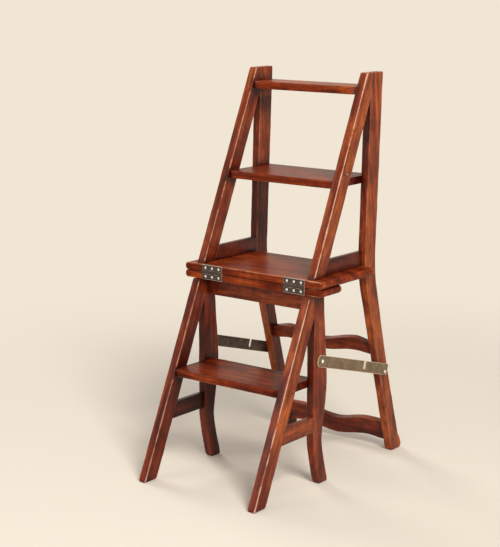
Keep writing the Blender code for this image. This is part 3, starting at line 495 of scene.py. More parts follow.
# The second wear share is the front arris on the +x side; its painted highlight line is brightest
# on the right.
for side_name, side in SIDES:
    side_piece("polished", "lower_stringer_" + side_name, side, stringer_front, stringer_back,
               LADDER_WAY, "fixed_half", 110 + 10 * side, easing=(FOOT_ROUND, END_ROUND),
               jointed=(FOOT_DARKENING_SCALE, 1), beside=beside_treads(side, [LOWER_TREAD_TOP]),
               wear=(0.3, 0.85 + 0.15 * side, 0.3, 0.2), tone=LOWER_STRINGER_PAINTED_SHADING[side_name])

# Swept front legs.
# The chair's own front legs, full at the knee and slim at the ankle, sawn to shape from
# one plank each and swept out at the foot. They carry the front seat board and the apron.
KNEE_HEIGHT = 0.228
KNEE_BACK = 0.0598
ANKLE_HEIGHT = 0.105
ANKLE_BACK = 0.0425
LEG_TOP_BACK = 0.0472
LEG_ARRIS = 0.0015
SWEEP_HEIGHT = 0.110
SWEEP_POWER = 1.4
FOOT_FRONT = 0.0345
FOOT_BACK = 0.0668
# Painted light and shade for the swept legs, on the front, +x, back and -x faces: the fronts are
# painted near-black up under the seat and the left leg's inner face dark low down, both as painted
# shade.
LEG_PAINTED_SHADING = {"left": ((0.20, 0.26, 0.33, 0.40), (-1.0, -0.6, -1.2, -3.0),
                     (-2.3, -0.6, -0.6, -0.6), 0, 0),
            "right": ((0.00, 0.20, 0.26, 0.33, 0.38), (-1.0, -0.7, -0.7, -1.5, -3.2),
                      (-0.2, 0.0, 0.3, 0.3, 0.3), 0, 0)}


def level_ease(share):
    """Runs from 0 to 1 and is level at both ends."""
    return share * share * (3 - 2 * share)


def leg_front(z):
    """Upright down to the sweep, then forward by a power of the depth below it."""
    below = np.clip(1 - z / SWEEP_HEIGHT, 0, 1)
    return LEG_FRONT + (FOOT_FRONT - LEG_FRONT) * below ** SWEEP_POWER


def leg_back(z):
    """Eased from the top to the knee and from the knee to the ankle, then swept back."""
    upper = level_ease(np.clip((z - KNEE_HEIGHT) / (FRONT_BOARD_UNDERSIDE - KNEE_HEIGHT), 0, 1))
    lower = level_ease(np.clip((z - ANKLE_HEIGHT) / (KNEE_HEIGHT - ANKLE_HEIGHT), 0, 1))
    below = np.clip(1 - z / ANKLE_HEIGHT, 0, 1)
    above_knee = KNEE_BACK + (LEG_TOP_BACK - KNEE_BACK) * upper
    below_knee = ANKLE_BACK + (KNEE_BACK - ANKLE_BACK) * lower
    swept = ANKLE_BACK + (FOOT_BACK - ANKLE_BACK) * below ** SWEEP_POWER
    return np.where(z >= KNEE_HEIGHT, above_knee, np.where(z >= ANKLE_HEIGHT, below_knee, swept))


def edge_up(line, levels):
    """An edge's points, from its line given as a function of height."""
    return np.stack([line(levels), levels], 1)


leg_levels = np.concatenate([np.linspace(0, SWEEP_HEIGHT, 19),
                             np.linspace(SWEEP_HEIGHT, FRONT_BOARD_UNDERSIDE - JOINT_GAP, 43)[1:]])
for side_name, side in SIDES:
    side_piece("swept", "front_leg_" + side_name, side, edge_up(leg_front, leg_levels),
               edge_up(leg_back, leg_levels), (0, 0, 1), "fixed_half", 210 + 10 * side,
               radius=LEG_ARRIS, easing=(FOOT_ROUND, END_ROUND), jointed=(FOOT_DARKENING_SCALE, 1),
               beside=beside_treads(side, [LOWER_TREAD_TOP]),
               wear=(0.2, 0.25 + 0.1 * side, 0.2, 0.2), tone=LEG_PAINTED_SHADING[side_name])

# Back posts.
# Each is one long piece, bent at the seat: above it the post that the upper treads are
# housed in, below it the raked stile of the chair's back, drawn in at the waist and
# rolled over at the scroll, which is by the floor in this pose.
POST_BEND_FRONT = 0.2050
POST_BEND_BACK = 0.2455
POST_TOP_FRONT = 0.2225
POST_TOP_BACK = 0.2668
POST_TOP_ROUND = 0.0012
STILE_FOOT_FRONT = 0.3345
STILE_FOOT_BACK = 0.3700
STILE_WAIST = 0.0045
BEND_REACH = 0.045
SCROLL_HEIGHT = 0.036
SCROLL_REACH = 0.0070
SCROLL_POWER = 0.6
SCROLL_ROUND = 0.0110
MIDDLE_TREAD_DROP = 0.2310
MIDDLE_TREAD_TOP = TOTAL_HEIGHT - MIDDLE_TREAD_DROP
TOP_TREAD_DROP = 0.0305
TOP_TREAD_TOP = TOTAL_HEIGHT - TOP_TREAD_DROP
# Painted light and shade for the posts, on the front, +x, back and -x faces. The near-black bands
# are painted shadow: under the top tread on the left post, and in the gap behind the upper stringer
# on the right one.
POST_PAINTED_SHADING = {
    "left": ((0.40, 0.50, 0.62, 0.72, 0.81, 0.85, 0.86), (1.6, -0.2, -0.2, -0.1, -0.6, -2.4, 0.6),
             (-1.3, -0.4, -0.2, 0.6, 0.2, -2.2, 0.6), 0, 0),
    "right": ((0.40, 0.50, 0.70, 0.76, 0.81), (0.8, 0.1, -0.4, -1.2, -3.2),
              (1.1, 0.9, 1.0, 1.0, 1.1), 0, 0.5)}


def bent_line(bend, top, foot, z):
    """Two straight lines that meet at the seat, joined by a parabola near it."""
    up = (top - bend) / SEAT_HEIGHT
    down = (bend - foot) / SEAT_HEIGHT
    rise = z - SEAT_HEIGHT
    straight = bend + np.where(rise > 0, up, down) * rise
    curve = bend + (up + down) / 2 * rise + (up - down) / (4 * BEND_REACH) * (
        rise * rise + BEND_REACH ** 2)
    return np.where(np.abs(rise) < BEND_REACH, curve, straight)


def post_front(z):
    """The front of a post: the bent line alone."""
    return bent_line(POST_BEND_FRONT, POST_TOP_FRONT, STILE_FOOT_FRONT, z)


def post_back(z):
    """The bent line, less a squared sine for the waist, with a quarter sine at the scroll
    and a quarter circle at its corner."""
    y = bent_line(POST_BEND_BACK, POST_TOP_BACK, STILE_FOOT_BACK, z)
    waist = STILE_WAIST * np.sin(np.pi * z / SEAT_HEIGHT) ** 2
    roll = np.sin(np.pi / 2 * np.clip(1 - z / SCROLL_HEIGHT, 0, 1)) ** SCROLL_POWER
    return y - np.where(z < SEAT_HEIGHT, waist, 0) + SCROLL_REACH * roll - drawn_in(z, SCROLL_ROUND)


bend_low, bend_high = SEAT_HEIGHT - BEND_REACH, SEAT_HEIGHT + BEND_REACH
post_levels = np.concatenate([SCROLL_ROUND * (1 - np.cos(np.linspace(0, np.pi / 2, 7))),
                              np.linspace(SCROLL_ROUND, SCROLL_HEIGHT, 11)[1:],
                              np.linspace(SCROLL_HEIGHT, bend_low, 30)[1:],
                              np.linspace(bend_low, bend_high, 13)[1:], [TOTAL_HEIGHT]])
for side_name, side in SIDES:
    side_piece("bent", "back_post_" + side_name, side, edge_up(post_front, post_levels),
               edge_up(post_back, post_levels), (0, -0.1, 1), "moving_half", 310 + 10 * side,
               easing=(FOOT_ROUND, POST_TOP_ROUND), jointed=(FOOT_DARKENING_SCALE, 0),
               beside=beside_treads(side, [MIDDLE_TREAD_TOP, TOP_TREAD_TOP]),
               wear=(0.2, 0.5, 0.2, 0.2), tone=POST_PAINTED_SHADING[side_name])

# Upper stringers.
# The sloping sides of the upper ladder, in line with the lower ones. They stand on the
# rear seat board and run up until their backs meet the fronts of the posts.
REAR_BOARD_TOP = SEAT_HEIGHT + BOARD_PARTING / 2 + BOARD_THICKNESS
# Painted light and shade for the upper stringers: the right one painted lighter, and the left one's
# inner face painted dark under the top tread as a painted shadow.
UPPER_STRINGER_PAINTED_SHADING = {
    "left": ((0.16, 0.37, 0.42, 0.44), (0.7, 0.9, 0.9, 0.9), (-0.3, 0.3, -1.6, 0.4), 0, 0),
    "right": ((0.16, 0.37), (1.0, 1.4), (0.9, 1.2), 0.5, 0.5)}
post_lean = (POST_TOP_FRONT - POST_BEND_FRONT) / SEAT_HEIGHT
post_foot = POST_BEND_FRONT - post_lean * SEAT_HEIGHT - JOINT_GAP
meet = (post_foot + LADDER_RUN - LADDER_SETBACK - STRINGER_REACH) / (
    LADDER_RUN / SEAT_HEIGHT - post_lean)
stringer_heights = np.array([REAR_BOARD_TOP + JOINT_GAP, meet, TOTAL_HEIGHT])
stringer_front = np.stack([ladder_front(stringer_heights), stringer_heights], 1)
stringer_back = stringer_front + (STRINGER_REACH, 0)
stringer_back[-1, 0] = POST_TOP_FRONT - JOINT_GAP
# The second wear share is the front arris on the +x side; its painted highlight line is brightest
# on the right.
for side_name, side in SIDES:
    side_piece("polished", "upper_stringer_" + side_name, side, stringer_front, stringer_back,
               LADDER_WAY, "moving_half", 430 + 10 * side, easing=(END_ROUND, POST_TOP_ROUND),
               jointed=(1, 0), beside=beside_treads(side, [MIDDLE_TREAD_TOP, TOP_TREAD_TOP]),
               wear=(0.3, 0.85 + 0.15 * side, 0.3, 0.2), tone=UPPER_STRINGER_PAINTED_SHADING[side_name])

# Treads.
# Three mahogany boards let into housings in the stringers and in the legs or posts behind
# them. Their fronts lie in the ladders' slope with a rounded nose, and shoes have worn
# the polish along the nose and on the top. The worn arrises are painted lighter, worn wood
# and a painted highlight in one, and the top tread is painted lighter and the others
# darker, as painted light and shade.
# The last number of each tread is its painted light and shade: the top tread lighter, the two below
# darker.
TREADS = {"lower_tread": (LOWER_TREAD_TOP, -0.0010, 0.014, 0.0040, -0.3),
          "middle_tread": (MIDDLE_TREAD_TOP, -0.0010, 0.026, 0.0080, -0.5),
          "top_tread": (TOP_TREAD_TOP, 0.0032, 0.028, 0.0140, 0.6)}
LOWER_TREAD_BACK = 0.0360
TREAD_ARRISES = (0.0022, 0.0036, 0.0012, 0.0012)
NOSE_WEAR = 0.0016
NOSE_WEAR_END = 0.008
NOSE_WEAR_EASE = 0.030
AS_DRAWN = ((1, 0, 0), (0, 1, 0), (0, 0, 1))
# The fourth colour is the arris line's: worn wood and a painted highlight in one.
TREAD_WOOD = mahogany("tread_mahogany", (0.063, 0.007, 0.0021), (0.189, 0.022, 0.0042),
                      (0.3622, 0.066, 0.0105), (0.46, 0.19, 0.11), rough=0.33, coat=0.07,
                      gleam=0.07, patina=0.35)


def tread_shape(forward):
    """Moves a tread's upright nose forward, and its lower edge back as if rubbed, by a
    smooth step away from the ends. Both fade out to the back."""
    def shaped(rows):
        x, depth, level = rows[..., 0], rows[..., 1], rows[..., 2] / TREAD_THICKNESS
        from_end = (INNER_FACE - np.abs(x) - NOSE_WEAR_END) / NOSE_WEAR_EASE
        rubbed = NOSE_WEAR * level_ease(np.clip(from_end, 0, 1))
        lean = (rubbed * (0.5 - level) - forward) * (1 - depth / depth.max())
        return rows + np.stack([lean * 0, lean, lean * 0], -1)
    return shaped


for name, (top, forward, corner_run, corner_depth, tone) in TREADS.items():
    lower = name == "lower_tread"
    back = LOWER_TREAD_BACK if lower else float(post_back(top - TREAD_THICKNESS))
    middle = top - TREAD_THICKNESS / 2
    front = float(ladder_front(middle))
    end = INNER_FACE - JOINT_GAP
    x = end - corner_run * (1 - np.sin(np.linspace(0, np.pi / 2, 11)))
    x = np.concatenate([-x[::-1], x])
    corner = np.clip(1 - (end - np.abs(x)) / corner_run, 0, 1)
    near = np.stack([x, corner_depth * (1 - np.sqrt(1 - corner ** 2))], 1)
    far = np.stack([x, 0 * x + back - front], 1)
    wooden_bar("worn_" + name, near, far, TREAD_THICKNESS, AS_DRAWN,
               (0, HINGE_Y + front, middle), (1, 0, 0), "fixed_half" if lower else "moving_half",
               TREAD_WOOD, 510 + len(name), [name], radius=TREAD_ARRISES, easing=0, curve=5,
               worn_ends=False, wobble=0.15, shape=tread_shape(forward),
               wear=(0.45 if lower else 0.3, 0.25, 0.2, 0.2), tone=tone)

# Seat boards.
# Two mahogany planks that lie one on the other here, hinged along the climber's edge. That
# edge is square with rubbed arrises and the other three are rounded over. The hinge leaves
# are let into it, and the posts into the far edge of the upper board.
BOARD_OVERHANG = 0.028
BOARD_HALF = HALF_WIDTH + BOARD_OVERHANG
BOARD_ROUND = 0.0072
BOARD_CORNER = 0.013
BOARD_INSETS = (0.0022, 0.0045)
BOARD_STEP = 0.006
CLEAR_OF_TURN = 0.0065
TURNS_APART = 0.0001
SHARP_ROUND = 0.002
HINGE_EDGE_ROUND = 0.0009
HINGE_EDGE_WOBBLE = 0.35
HINGE_EDGE_PITCH = 11
FRONT_BOARD_DEPTH = 0.080
REAR_BOARD_DEPTH = 0.2125
HINGE_LENGTH = 0.058
HINGE_FROM_STRINGER = 0.0005
HINGE_PLACE = INNER_FACE - HINGE_FROM_STRINGER - HINGE_LENGTH / 2
LEAF_THICKNESS = 0.0020
LEAF_HOUSING_ROUND = 0.0004
BARREL_CLEARANCE = 0.0014
CORNER_RUB = 0.145
CORNER_RUB_FADE = 0.012
CORNER_RUB_DEPTH = 0.02
PARTING_DARKENING_SCALE = 4


def plan_columns(turns):
    """Columns round one half of a plan: each turn is a point with its outward way, its
    arrises' upper and lower radii and its inset way. Up to the next turn the edge is filled
    with evenly spaced points, if the turn's last value holds radii for them."""
    columns = []
    for here, ahead in zip(turns, turns[1:] + turns[-1:]):
        columns.append([here[:8]])
        start, stop = np.array(here[:2]), np.array(ahead[:2])
        length = np.linalg.norm(stop - start)
        if here[8] and length > 2 * CLEAR_OF_TURN:
            way = (stop - start) / length
            at = np.linspace(CLEAR_OF_TURN, length - CLEAR_OF_TURN,
                             max(2, round(length / BOARD_STEP)))
            rest = [way[1], -way[0], *here[8], way[1], -way[0]]
            columns.append(np.concatenate([start + way * at[:, None],
                                           np.broadcast_to(rest, (len(at), 6))], 1))
    return np.concatenate(columns)


def slab_rows(columns, thickness, insets, curve):
    """Rows down a slab: insets on the upper face, a quarter circle over the upper arris, the
    edge, a quarter circle under the lower arris and insets on the lower face."""
    plan, way, inset = columns[:, 0:2], columns[:, 2:4], columns[:, 6:8]
    upper, lower, half = columns[:, 4], columns[:, 5], thickness / 2
    angle = np.linspace(0, np.pi / 2, curve + 1)[:, None]
    steps = np.array(insets)[:, None, None]

    def over_arris(radius):
        """From the edge over an arris and in on its face: places, heights and distances."""
        sunk = plan - way * (radius * (1 - np.cos(angle)))[..., None]
        soft = np.maximum(radius - SHARP_ROUND, 0) * 0.5 + 0 * angle
        on_face = steps[..., 0] + 0 * radius
        return (np.concatenate([sunk, plan - way * radius[:, None] - inset * steps]),
                np.concatenate([half - radius * (1 - np.sin(angle)), half + 0 * on_face]),
                np.concatenate([soft, on_face]))

    places, heights, gaps = over_arris(upper)
    places_under, heights_under, gaps_under = over_arris(lower)
    level, level_gap = face_points(lower - half, half - upper, insets)
    places = np.concatenate([places[::-1], plan + 0 * level.T[..., None], places_under])
    heights = np.concatenate([heights[::-1], level.T[::-1], -heights_under])
    gaps = np.concatenate([gaps[::-1], level_gap.T[::-1], gaps_under])
    return np.concatenate([places, heights[..., None]], 2), gaps


def board_columns(depth, axis_side, notched):
    """The right half of a seat board's plan, from the middle of the hinge edge round to the
    middle of the far edge, and its mirror image after it."""
    edge = (HINGE_EDGE_ROUND, HINGE_EDGE_ROUND)
    housing = (BARREL_CLEARANCE, LEAF_HOUSING_ROUND)[::axis_side]
    wide = (BOARD_ROUND, BOARD_ROUND)
    front = LADDER_SETBACK
    floor = front + LEAF_THICKNESS + JOINT_GAP
    start = HINGE_PLACE - HINGE_LENGTH / 2 - JOINT_GAP
    stop = HINGE_PLACE + HINGE_LENGTH / 2 + JOINT_GAP
    turns = [[0, front, 0, -1, *edge, 0, -1, edge],
             [start, front, 1, -1, *edge, 1, -1, None],
             [start, floor, 1, -1, *housing, 1, -1, housing],
             [stop, floor, -1, -1, *housing, -1, -1, None],
             [stop, front, -1, -1, *edge, -1, -1, edge],
             [BOARD_HALF - BOARD_ROUND - TURNS_APART, front, 0, -1, *edge, 1, -1, None],
             [BOARD_HALF, front, 1, 0, *wide, 1, -1, wide]]
    for turn in np.linspace(0, np.pi / 2, 9):
        way = (math.cos(turn), math.sin(turn))
        turns.append([BOARD_HALF - BOARD_CORNER * (1 - way[0]), depth - BOARD_CORNER * (1 - way[1]),
                      *way, *wide, *way, wide if turn > 1.5 else None])
    if notched:
        inner, outer = INNER_FACE - JOINT_GAP, HALF_WIDTH + JOINT_GAP
        stop = float(post_front(SEAT_HEIGHT)) - 2 * JOINT_GAP
        turns += [[outer, depth, 0, 1, *wide, -1, 1, None],
                  [outer, stop, -1, 1, *edge, -1, 1, edge],
                  [inner, stop, 1, 1, *edge, 1, 1, None],
                  [inner, depth, 0, 1, *wide, 1, 1, wide]]
    right = plan_columns(turns + [[0, depth, 0, 1, *wide, 0, 1, None]])
    left = right[-2:0:-1] * (-1, 1, -1, 1, 1, 1, -1, 1)
    return np.concatenate([right, left])


def seat_board(name, depth, underside, axis_side, body, seed):
    """A board from its underside up, with room for the hinge barrels on the axis' side. The
    sharp arrises' radii wander. The upper board is worn most on its upper half, both are
    rubbed at their front right corner, and both are darkened along the parting between them
    as beside a joint, painted shade with grime. The rear board is painted lighter and the
    front board darker, as painted light and shade."""
    columns = board_columns(depth, axis_side, axis_side < 0)
    way = distance_along(columns[:, :2])
    small = columns[:, 4:6] < SHARP_ROUND
    for side in (0, 1):
        wobble = HINGE_EDGE_WOBBLE * wander(way, seed + side, HINGE_EDGE_PITCH)
        columns[:, 4 + side] *= 1 + small[:, side] * wobble
    rows, gap = slab_rows(columns, BOARD_THICKNESS, BOARD_INSETS, 6)
    places = rows.reshape(-1, 3) + (0, HINGE_Y, underside + BOARD_THICKNESS / 2)
    above = places[:, 2] - SEAT_HEIGHT
    rubbed = (np.clip((places[:, 0] - CORNER_RUB) / CORNER_RUB_FADE, 0, 1)
              * (places[:, 1] < HINGE_Y + CORNER_RUB_DEPTH))
    worn = np.where(above > BOARD_THICKNESS / 2, 0.9, 0.3) + rubbed * np.where(above > 0, 0.7, 0.6)
    # Painted light and shade: the rear board is painted lighter and the front board darker. Close
    # to the parting the boards are darkened as beside a joint, painted shade with grime.
    values = wood_values(places, gap, PARTING_DARKENING_SCALE * np.abs(above), worn,
                         0.12 - 0.28 * axis_side, (1, 0, 0), seed)
    finished("rounded_" + name, places, outward(places, closed_faces(*gap.shape)), body,
             TREAD_WOOD, [name], values)


seat_board("seat_front_board", FRONT_BOARD_DEPTH, FRONT_BOARD_UNDERSIDE, 1, "fixed_half", 910)
seat_board("seat_rear_board", REAR_BOARD_DEPTH, REAR_BOARD_TOP - BOARD_THICKNESS, -1,
           "moving_half", 920)

# Stretchers and side rails.
# Thin mahogany rails that tie each stringer to the leg or post behind it, low down on the
# ladder and just above the seat.
STRETCHER_LOW = 0.1250
STRETCHER_HIGH = 0.1620
STRETCHER_THICKNESS = 0.0115
STRETCHER_INSET = 0.0010
# Painted light and shade: the left stretcher is painted very dark as in shade, the right one
# lighter, and both side rails darker.
STRETCHER_PAINTED_SHADING = {"left": -2.2, "right": 1.4}
SIDE_RAIL_LOW = REAR_BOARD_TOP + JOINT_GAP
SIDE_RAIL_HEIGHT = 0.0345
SIDE_RAIL_THICKNESS = 0.0110
SIDE_RAIL_INSET = 0.0090
SIDE_RAIL_PAINTED_SHADING = -1.3


def tenoned_rail(name, side, levels, behind, thickness, inset, body, seed, tone):
    """A rail from the back of the ladder to a joint's gap before the line behind it."""
    side_piece("tenoned", name, side,
               edge_up(ladder_front, levels) + (STRINGER_REACH + JOINT_GAP, 0),
               edge_up(behind, levels) - (JOINT_GAP, 0), (0, 1, 0), body, seed, thickness, inset,
               wear=0.15, tone=tone)


for side_name, side in SIDES:
    tenoned_rail("lower_stretcher_" + side_name, side,
                 np.linspace(STRETCHER_LOW, STRETCHER_HIGH, 4), leg_front, STRETCHER_THICKNESS,
                 STRETCHER_INSET, "fixed_half", 610 + 10 * side, STRETCHER_PAINTED_SHADING[side_name])
    tenoned_rail("side_rail_" + side_name, side,
                 np.linspace(SIDE_RAIL_LOW, SIDE_RAIL_LOW + SIDE_RAIL_HEIGHT, 7), post_front,
                 SIDE_RAIL_THICKNESS, SIDE_RAIL_INSET, "moving_half", 650 + 10 * side,
                 SIDE_RAIL_PAINTED_SHADING)

# Apron.
# A plain rail under the front seat board, between the swept legs and a little behind
# their fronts.
APRON_DEPTH = 0.0395
APRON_FRONT = 0.0235
APRON_THICKNESS = 0.0160
FACING_CLIMBER = ((1, 0, 0), (0, 0, 1), (0, -1, 0))
ends = np.array([-1, 1]) * (INNER_FACE - JOINT_GAP)
low = FRONT_BOARD_UNDERSIDE - APRON_DEPTH
high = FRONT_BOARD_UNDERSIDE - JOINT_GAP
# The apron is painted lighter: painted light on it under the seat board's overhang.
wooden_bar("plain_front_apron", np.stack([ends, [low, low]], 1), np.stack([ends, [high, high]], 1),
           APRON_THICKNESS, FACING_CLIMBER, (0, HINGE_Y + APRON_FRONT + APRON_THICKNESS / 2, 0),
           (1, 0, 0), "fixed_half", FRAME_WOOD, 710, ["front_apron"], easing=0,
           worn_ends=False, wear=0.15, tone=0.4)

# Back rails.
# The chair back's two shaped rails, sawn with a swell near each end and a hollow in the
# middle. They lie in the rake of the stiles, upside down and low down in this pose.
BACK_RAIL_THICKNESS = 0.0160
BACK_RAIL_INSET = 0.0090
BACK_RAIL_ARRIS = 0.0018
CREST_TOP = 0.0707
CREST_BOTTOM = 0.0240
CREST_TOP_DIP = 0.0140
CREST_BOTTOM_DIP = 0.0080
CREST_HUMP = 0.0050
MID_RAIL_TOP = 0.2756
MID_RAIL_BOTTOM = 0.2481
MID_RAIL_DIP = 0.0080
MID_RAIL_HUMP = 0.0085
SWELL_PLACE = 0.655 * INNER_FACE
STILE_RAKE = math.atan2(STILE_FOOT_FRONT - POST_BEND_FRONT, SEAT_HEIGHT)


def wave(end, hump, dip, x):
    """A serpentine edge: from the dip in the middle up to a swell, then down to the end."""
    place = np.abs(x)
    inner = level_ease(np.clip(place / SWELL_PLACE, 0, 1))
    outer = level_ease(np.clip((place - SWELL_PLACE) / (INNER_FACE - SWELL_PLACE), 0, 1))
    return end + np.where(place < SWELL_PLACE, -dip + (hump + dip) * inner, hump * (1 - outer))


def back_rail(name, bottom, top, bottom_wave, top_wave, seed, tone):
    """The outline in the plane of the chair's back, between two serpentine edges."""
    x = np.linspace(-INNER_FACE + JOINT_GAP, INNER_FACE - JOINT_GAP, 60)
    lean, drop = math.cos(STILE_RAKE), math.sin(STILE_RAKE)
    above = np.stack([x, (wave(top, *top_wave, x) - bottom) / lean], 1)
    below = np.stack([x, (wave(bottom, *bottom_wave, x) - bottom) / lean], 1)
    behind = (BACK_RAIL_INSET + BACK_RAIL_THICKNESS / 2) / lean
    wooden_bar("shaped_" + name, below, above, BACK_RAIL_THICKNESS,
               ((1, 0, 0), (0, -drop, lean), (0, -lean, -drop)),
               (0, HINGE_Y + float(post_front(bottom)) + behind, bottom), (1, 0, 0),
               "moving_half", FRAME_WOOD, seed, [name], radius=BACK_RAIL_ARRIS, easing=0,
               worn_ends=False, wear=0.1, tone=tone)


# The last number of each rail is its painted light and shade: the crest rail is painted lighter.
back_rail("mid_back_rail", MID_RAIL_BOTTOM, MID_RAIL_TOP, (MID_RAIL_HUMP / 2, MID_RAIL_DIP),
          (MID_RAIL_HUMP, MID_RAIL_DIP), 810, 0.0)
back_rail("crest_rail", CREST_BOTTOM, CREST_TOP, (CREST_HUMP, CREST_BOTTOM_DIP),
          (CREST_HUMP / 4, CREST_TOP_DIP), 830, 0.4)

# Hinges.
# Two wrought butt hinges, let flush into the meeting edges of the boards, with five
# knuckles each. They are blackened and a little rusty, and rubbed bright along the edges.
BARREL_RADIUS = 0.0031
BARREL_EASE = 0.0004
KNUCKLES = 5
KNUCKLE_RUB = 0.0010
LEAF_ARRIS = 0.0004
TAB_ARRIS = 0.0003
TAB_HIGH = 0.0012
TAB_LAP = 0.001
PLATE_INSETS = (0.0008, 0.002)
PIN_SHANK = 0.0014
PIN_RADIUS = (BARREL_RADIUS + PIN_SHANK) / 2
PIN_HEAD = 0.0008
PIN_EASE = 0.0002
PIN_RUB = 0.0003
ALONG_X = ((0, 1, 0), (0, 0, 1), (1, 0, 0))
FACING_BACK = ((1, 0, 0), (0, 0, 1), (0, 1, 0))


def turned(profile, axes, origin, edge, around=28):
    """A solid of revolution from (radius, height) pairs: rings about the third axis, the
    first and last of them filled. It has one edge value all over."""
    profile = np.array(profile, float)
    angle = np.arange(around) * 2 * np.pi / around
    ring = np.stack([np.cos(angle), np.sin(angle)], 1)
    rows = np.concatenate([profile[:, None, :1] * ring[None],
                           profile[:, None, 1:] + 0 * ring[None, :, :1]], 2)
    return (stood(rows, axes, origin), closed_faces(len(profile), around),
            np.full(rows[..., 0].size, edge))


def joined(shells):
    """Several closed shells as one mesh, each with its faces outward."""
    starts = np.cumsum([0] + [len(places) for places, _, _ in shells])
    faces = [[start + i for i in face] for start, (places, shell_faces, _) in zip(starts, shells)
             for face in outward(places, shell_faces)]
    return (np.concatenate([shell[0] for shell in shells]), faces,
            np.concatenate([shell[2] for shell in shells]))


def metal_piece(name, shells, body, material, nodes):
    """Closed shells as one metal piece, with the distance to an edge on its points."""
    places, faces, edge = joined(shells)
    finished(name, places, faces, body, material, nodes, {"edge": edge})


def eased_rod(radius, low, high, ease):
    """A rod's profile between two heights with eased ends."""
    turn = np.linspace(0, np.pi / 2, 4)
    low_end = np.stack([radius - ease + ease * np.sin(turn), low + ease - ease * np.cos(turn)], 1)
    high_end = np.stack([low_end[::-1, 0], low + high - low_end[::-1, 1]], 1)
    return np.concatenate([low_end, high_end])


def plate_shell(start, stop, near, far, radius, middle):
    """A rectangle of the leaf's thickness, with eased arrises and ends. Its points along are
    even steps and the eases' ends."""
    share = np.unique(np.concatenate([[0, 0.012, 0.988, 1], np.linspace(0, 1, 9)]))
    along = start + (stop - start) * share
    rows, gap, end = bar_rows(np.stack([along, near + 0 * along], 1),
                              np.stack([along, far + 0 * along], 1), LEAF_THICKNESS, radius, 5,
                              radius * 0.6, PLATE_INSETS, 2, 0.2)
    return stood(rows, FACING_BACK, middle), closed_faces(*gap.shape), np.minimum(gap, end).ravel()


def worn_metal(name, base, mottle, tint, worn, metallic, rough, wear_reach, cells=140,
               scratched=0.35):
    """Old metal: two tarnishes in patches over the base colour, fine pits and scratches, and
    edges rubbed brighter."""
    material, tree, shader = new_material(name)
    place = add(tree, "TexCoord").outputs["Object"]
    edge = value_on(tree, "edge")
    patches = noise(tree, place, (cells, cells, cells), 4, 0.6, 0.6)
    blotches = noise(tree, place, (cells * 0.6, cells * 0.4, cells * 0.7), 3, 0.6)
    pits = noise(tree, place, (900, 900, 900), 3, 0.6)
    scratches = noise(tree, place, (700, 200, 1500), 2, 0.5, 1.2)
    colour = between(tree, spread(tree, patches, 0.36, 0.66), base, mottle)
    colour = between(tree, spread(tree, blotches, 0.46, 0.66, 0.0, 0.8), colour, tint)
    colour = between(tree, spread(tree, scratches, 0.60, 0.72, 0.0, scratched), colour, worn)
    near = calc(tree, "SUBTRACT", times(tree, patches, wear_reach), edge)
    colour = between(tree, spread(tree, near, 0.0, wear_reach * 0.4), colour, worn)
    tree.links.new(colour, shader.inputs["Base Color"])
    tree.links.new(spread(tree, patches, 0.3, 0.7, rough - 0.08, rough + 0.14),
                   shader.inputs["Roughness"])
    relief = calc(tree, "ADD", times(tree, pits, 0.6), times(tree, scratches, 0.4))
    bump = add(tree, "Bump", None, Height=relief, Strength=0.3, Distance=0.0002)
    tree.links.new(bump.outputs[0], shader.inputs["Normal"])
    shader.inputs["Metallic"].default_value = metallic
    return material


HINGE_IRON = worn_metal("blackened_iron", (0.0528, 0.0384, 0.0318), (0.033, 0.0258, 0.0234),
                        (0.072, 0.0432, 0.0288), (0.46, 0.39, 0.33), 0.45, 0.42, 0.0015)


def knuckle_spans(first):
    """The stretches of the barrel that belong to one leaf, every second one from the first."""
    pitch = HINGE_LENGTH / KNUCKLES
    low = np.arange(first, KNUCKLES, 2) * pitch
    trim = JOINT_GAP / 2
    return np.stack([low + trim * (low > 0), low + pitch - trim * (low + pitch < HINGE_LENGTH)], 1)


def hinge_leaf(name, side, above, first, body):
    """A flat plate, a tab up to each of its knuckles, and the knuckles."""
    left = side * HINGE_PLACE - HINGE_LENGTH / 2
    far = above * (BOARD_PARTING / 2 + BOARD_THICKNESS)
    shy = above * (BARREL_RADIUS + 2 * JOINT_GAP)
    middle = (0, HINGE_Y + LADDER_SETBACK + LEAF_THICKNESS / 2, SEAT_HEIGHT)
    shells = [plate_shell(left, left + HINGE_LENGTH, far, shy, LEAF_ARRIS, middle)]
    for low, high in knuckle_spans(first) + left:
        shells.append(plate_shell(low, high, shy + above * TAB_LAP, above * TAB_HIGH,
                                  TAB_ARRIS, middle))
        shells.append(turned(eased_rod(BARREL_RADIUS, low, high, BARREL_EASE), ALONG_X,
                             (0, HINGE_Y, SEAT_HEIGHT), KNUCKLE_RUB))
    metal_piece("flush_" + name, shells, body, HINGE_IRON, [name])


for side_name, side in SIDES:
    hinge_leaf("hinge_leaf_front_" + side_name, side, -1, 0, "fixed_half")
    hinge_leaf("hinge_leaf_rear_" + side_name, side, 1, 1, "moving_half")
    inner = HINGE_LENGTH / 2 + JOINT_GAP
    outer = inner + PIN_HEAD - JOINT_GAP
    heads = [turned(eased_rod(PIN_RADIUS, low, high, PIN_EASE), ALONG_X,
                    (side * HINGE_PLACE, HINGE_Y, SEAT_HEIGHT), PIN_RUB)
             for low, high in ((inner, outer), (-outer, -inner))]
    metal_piece("headed_hinge_pin_" + side_name, heads, "fixed_half", HINGE_IRON,
                ["hinge_pin_" + side_name])

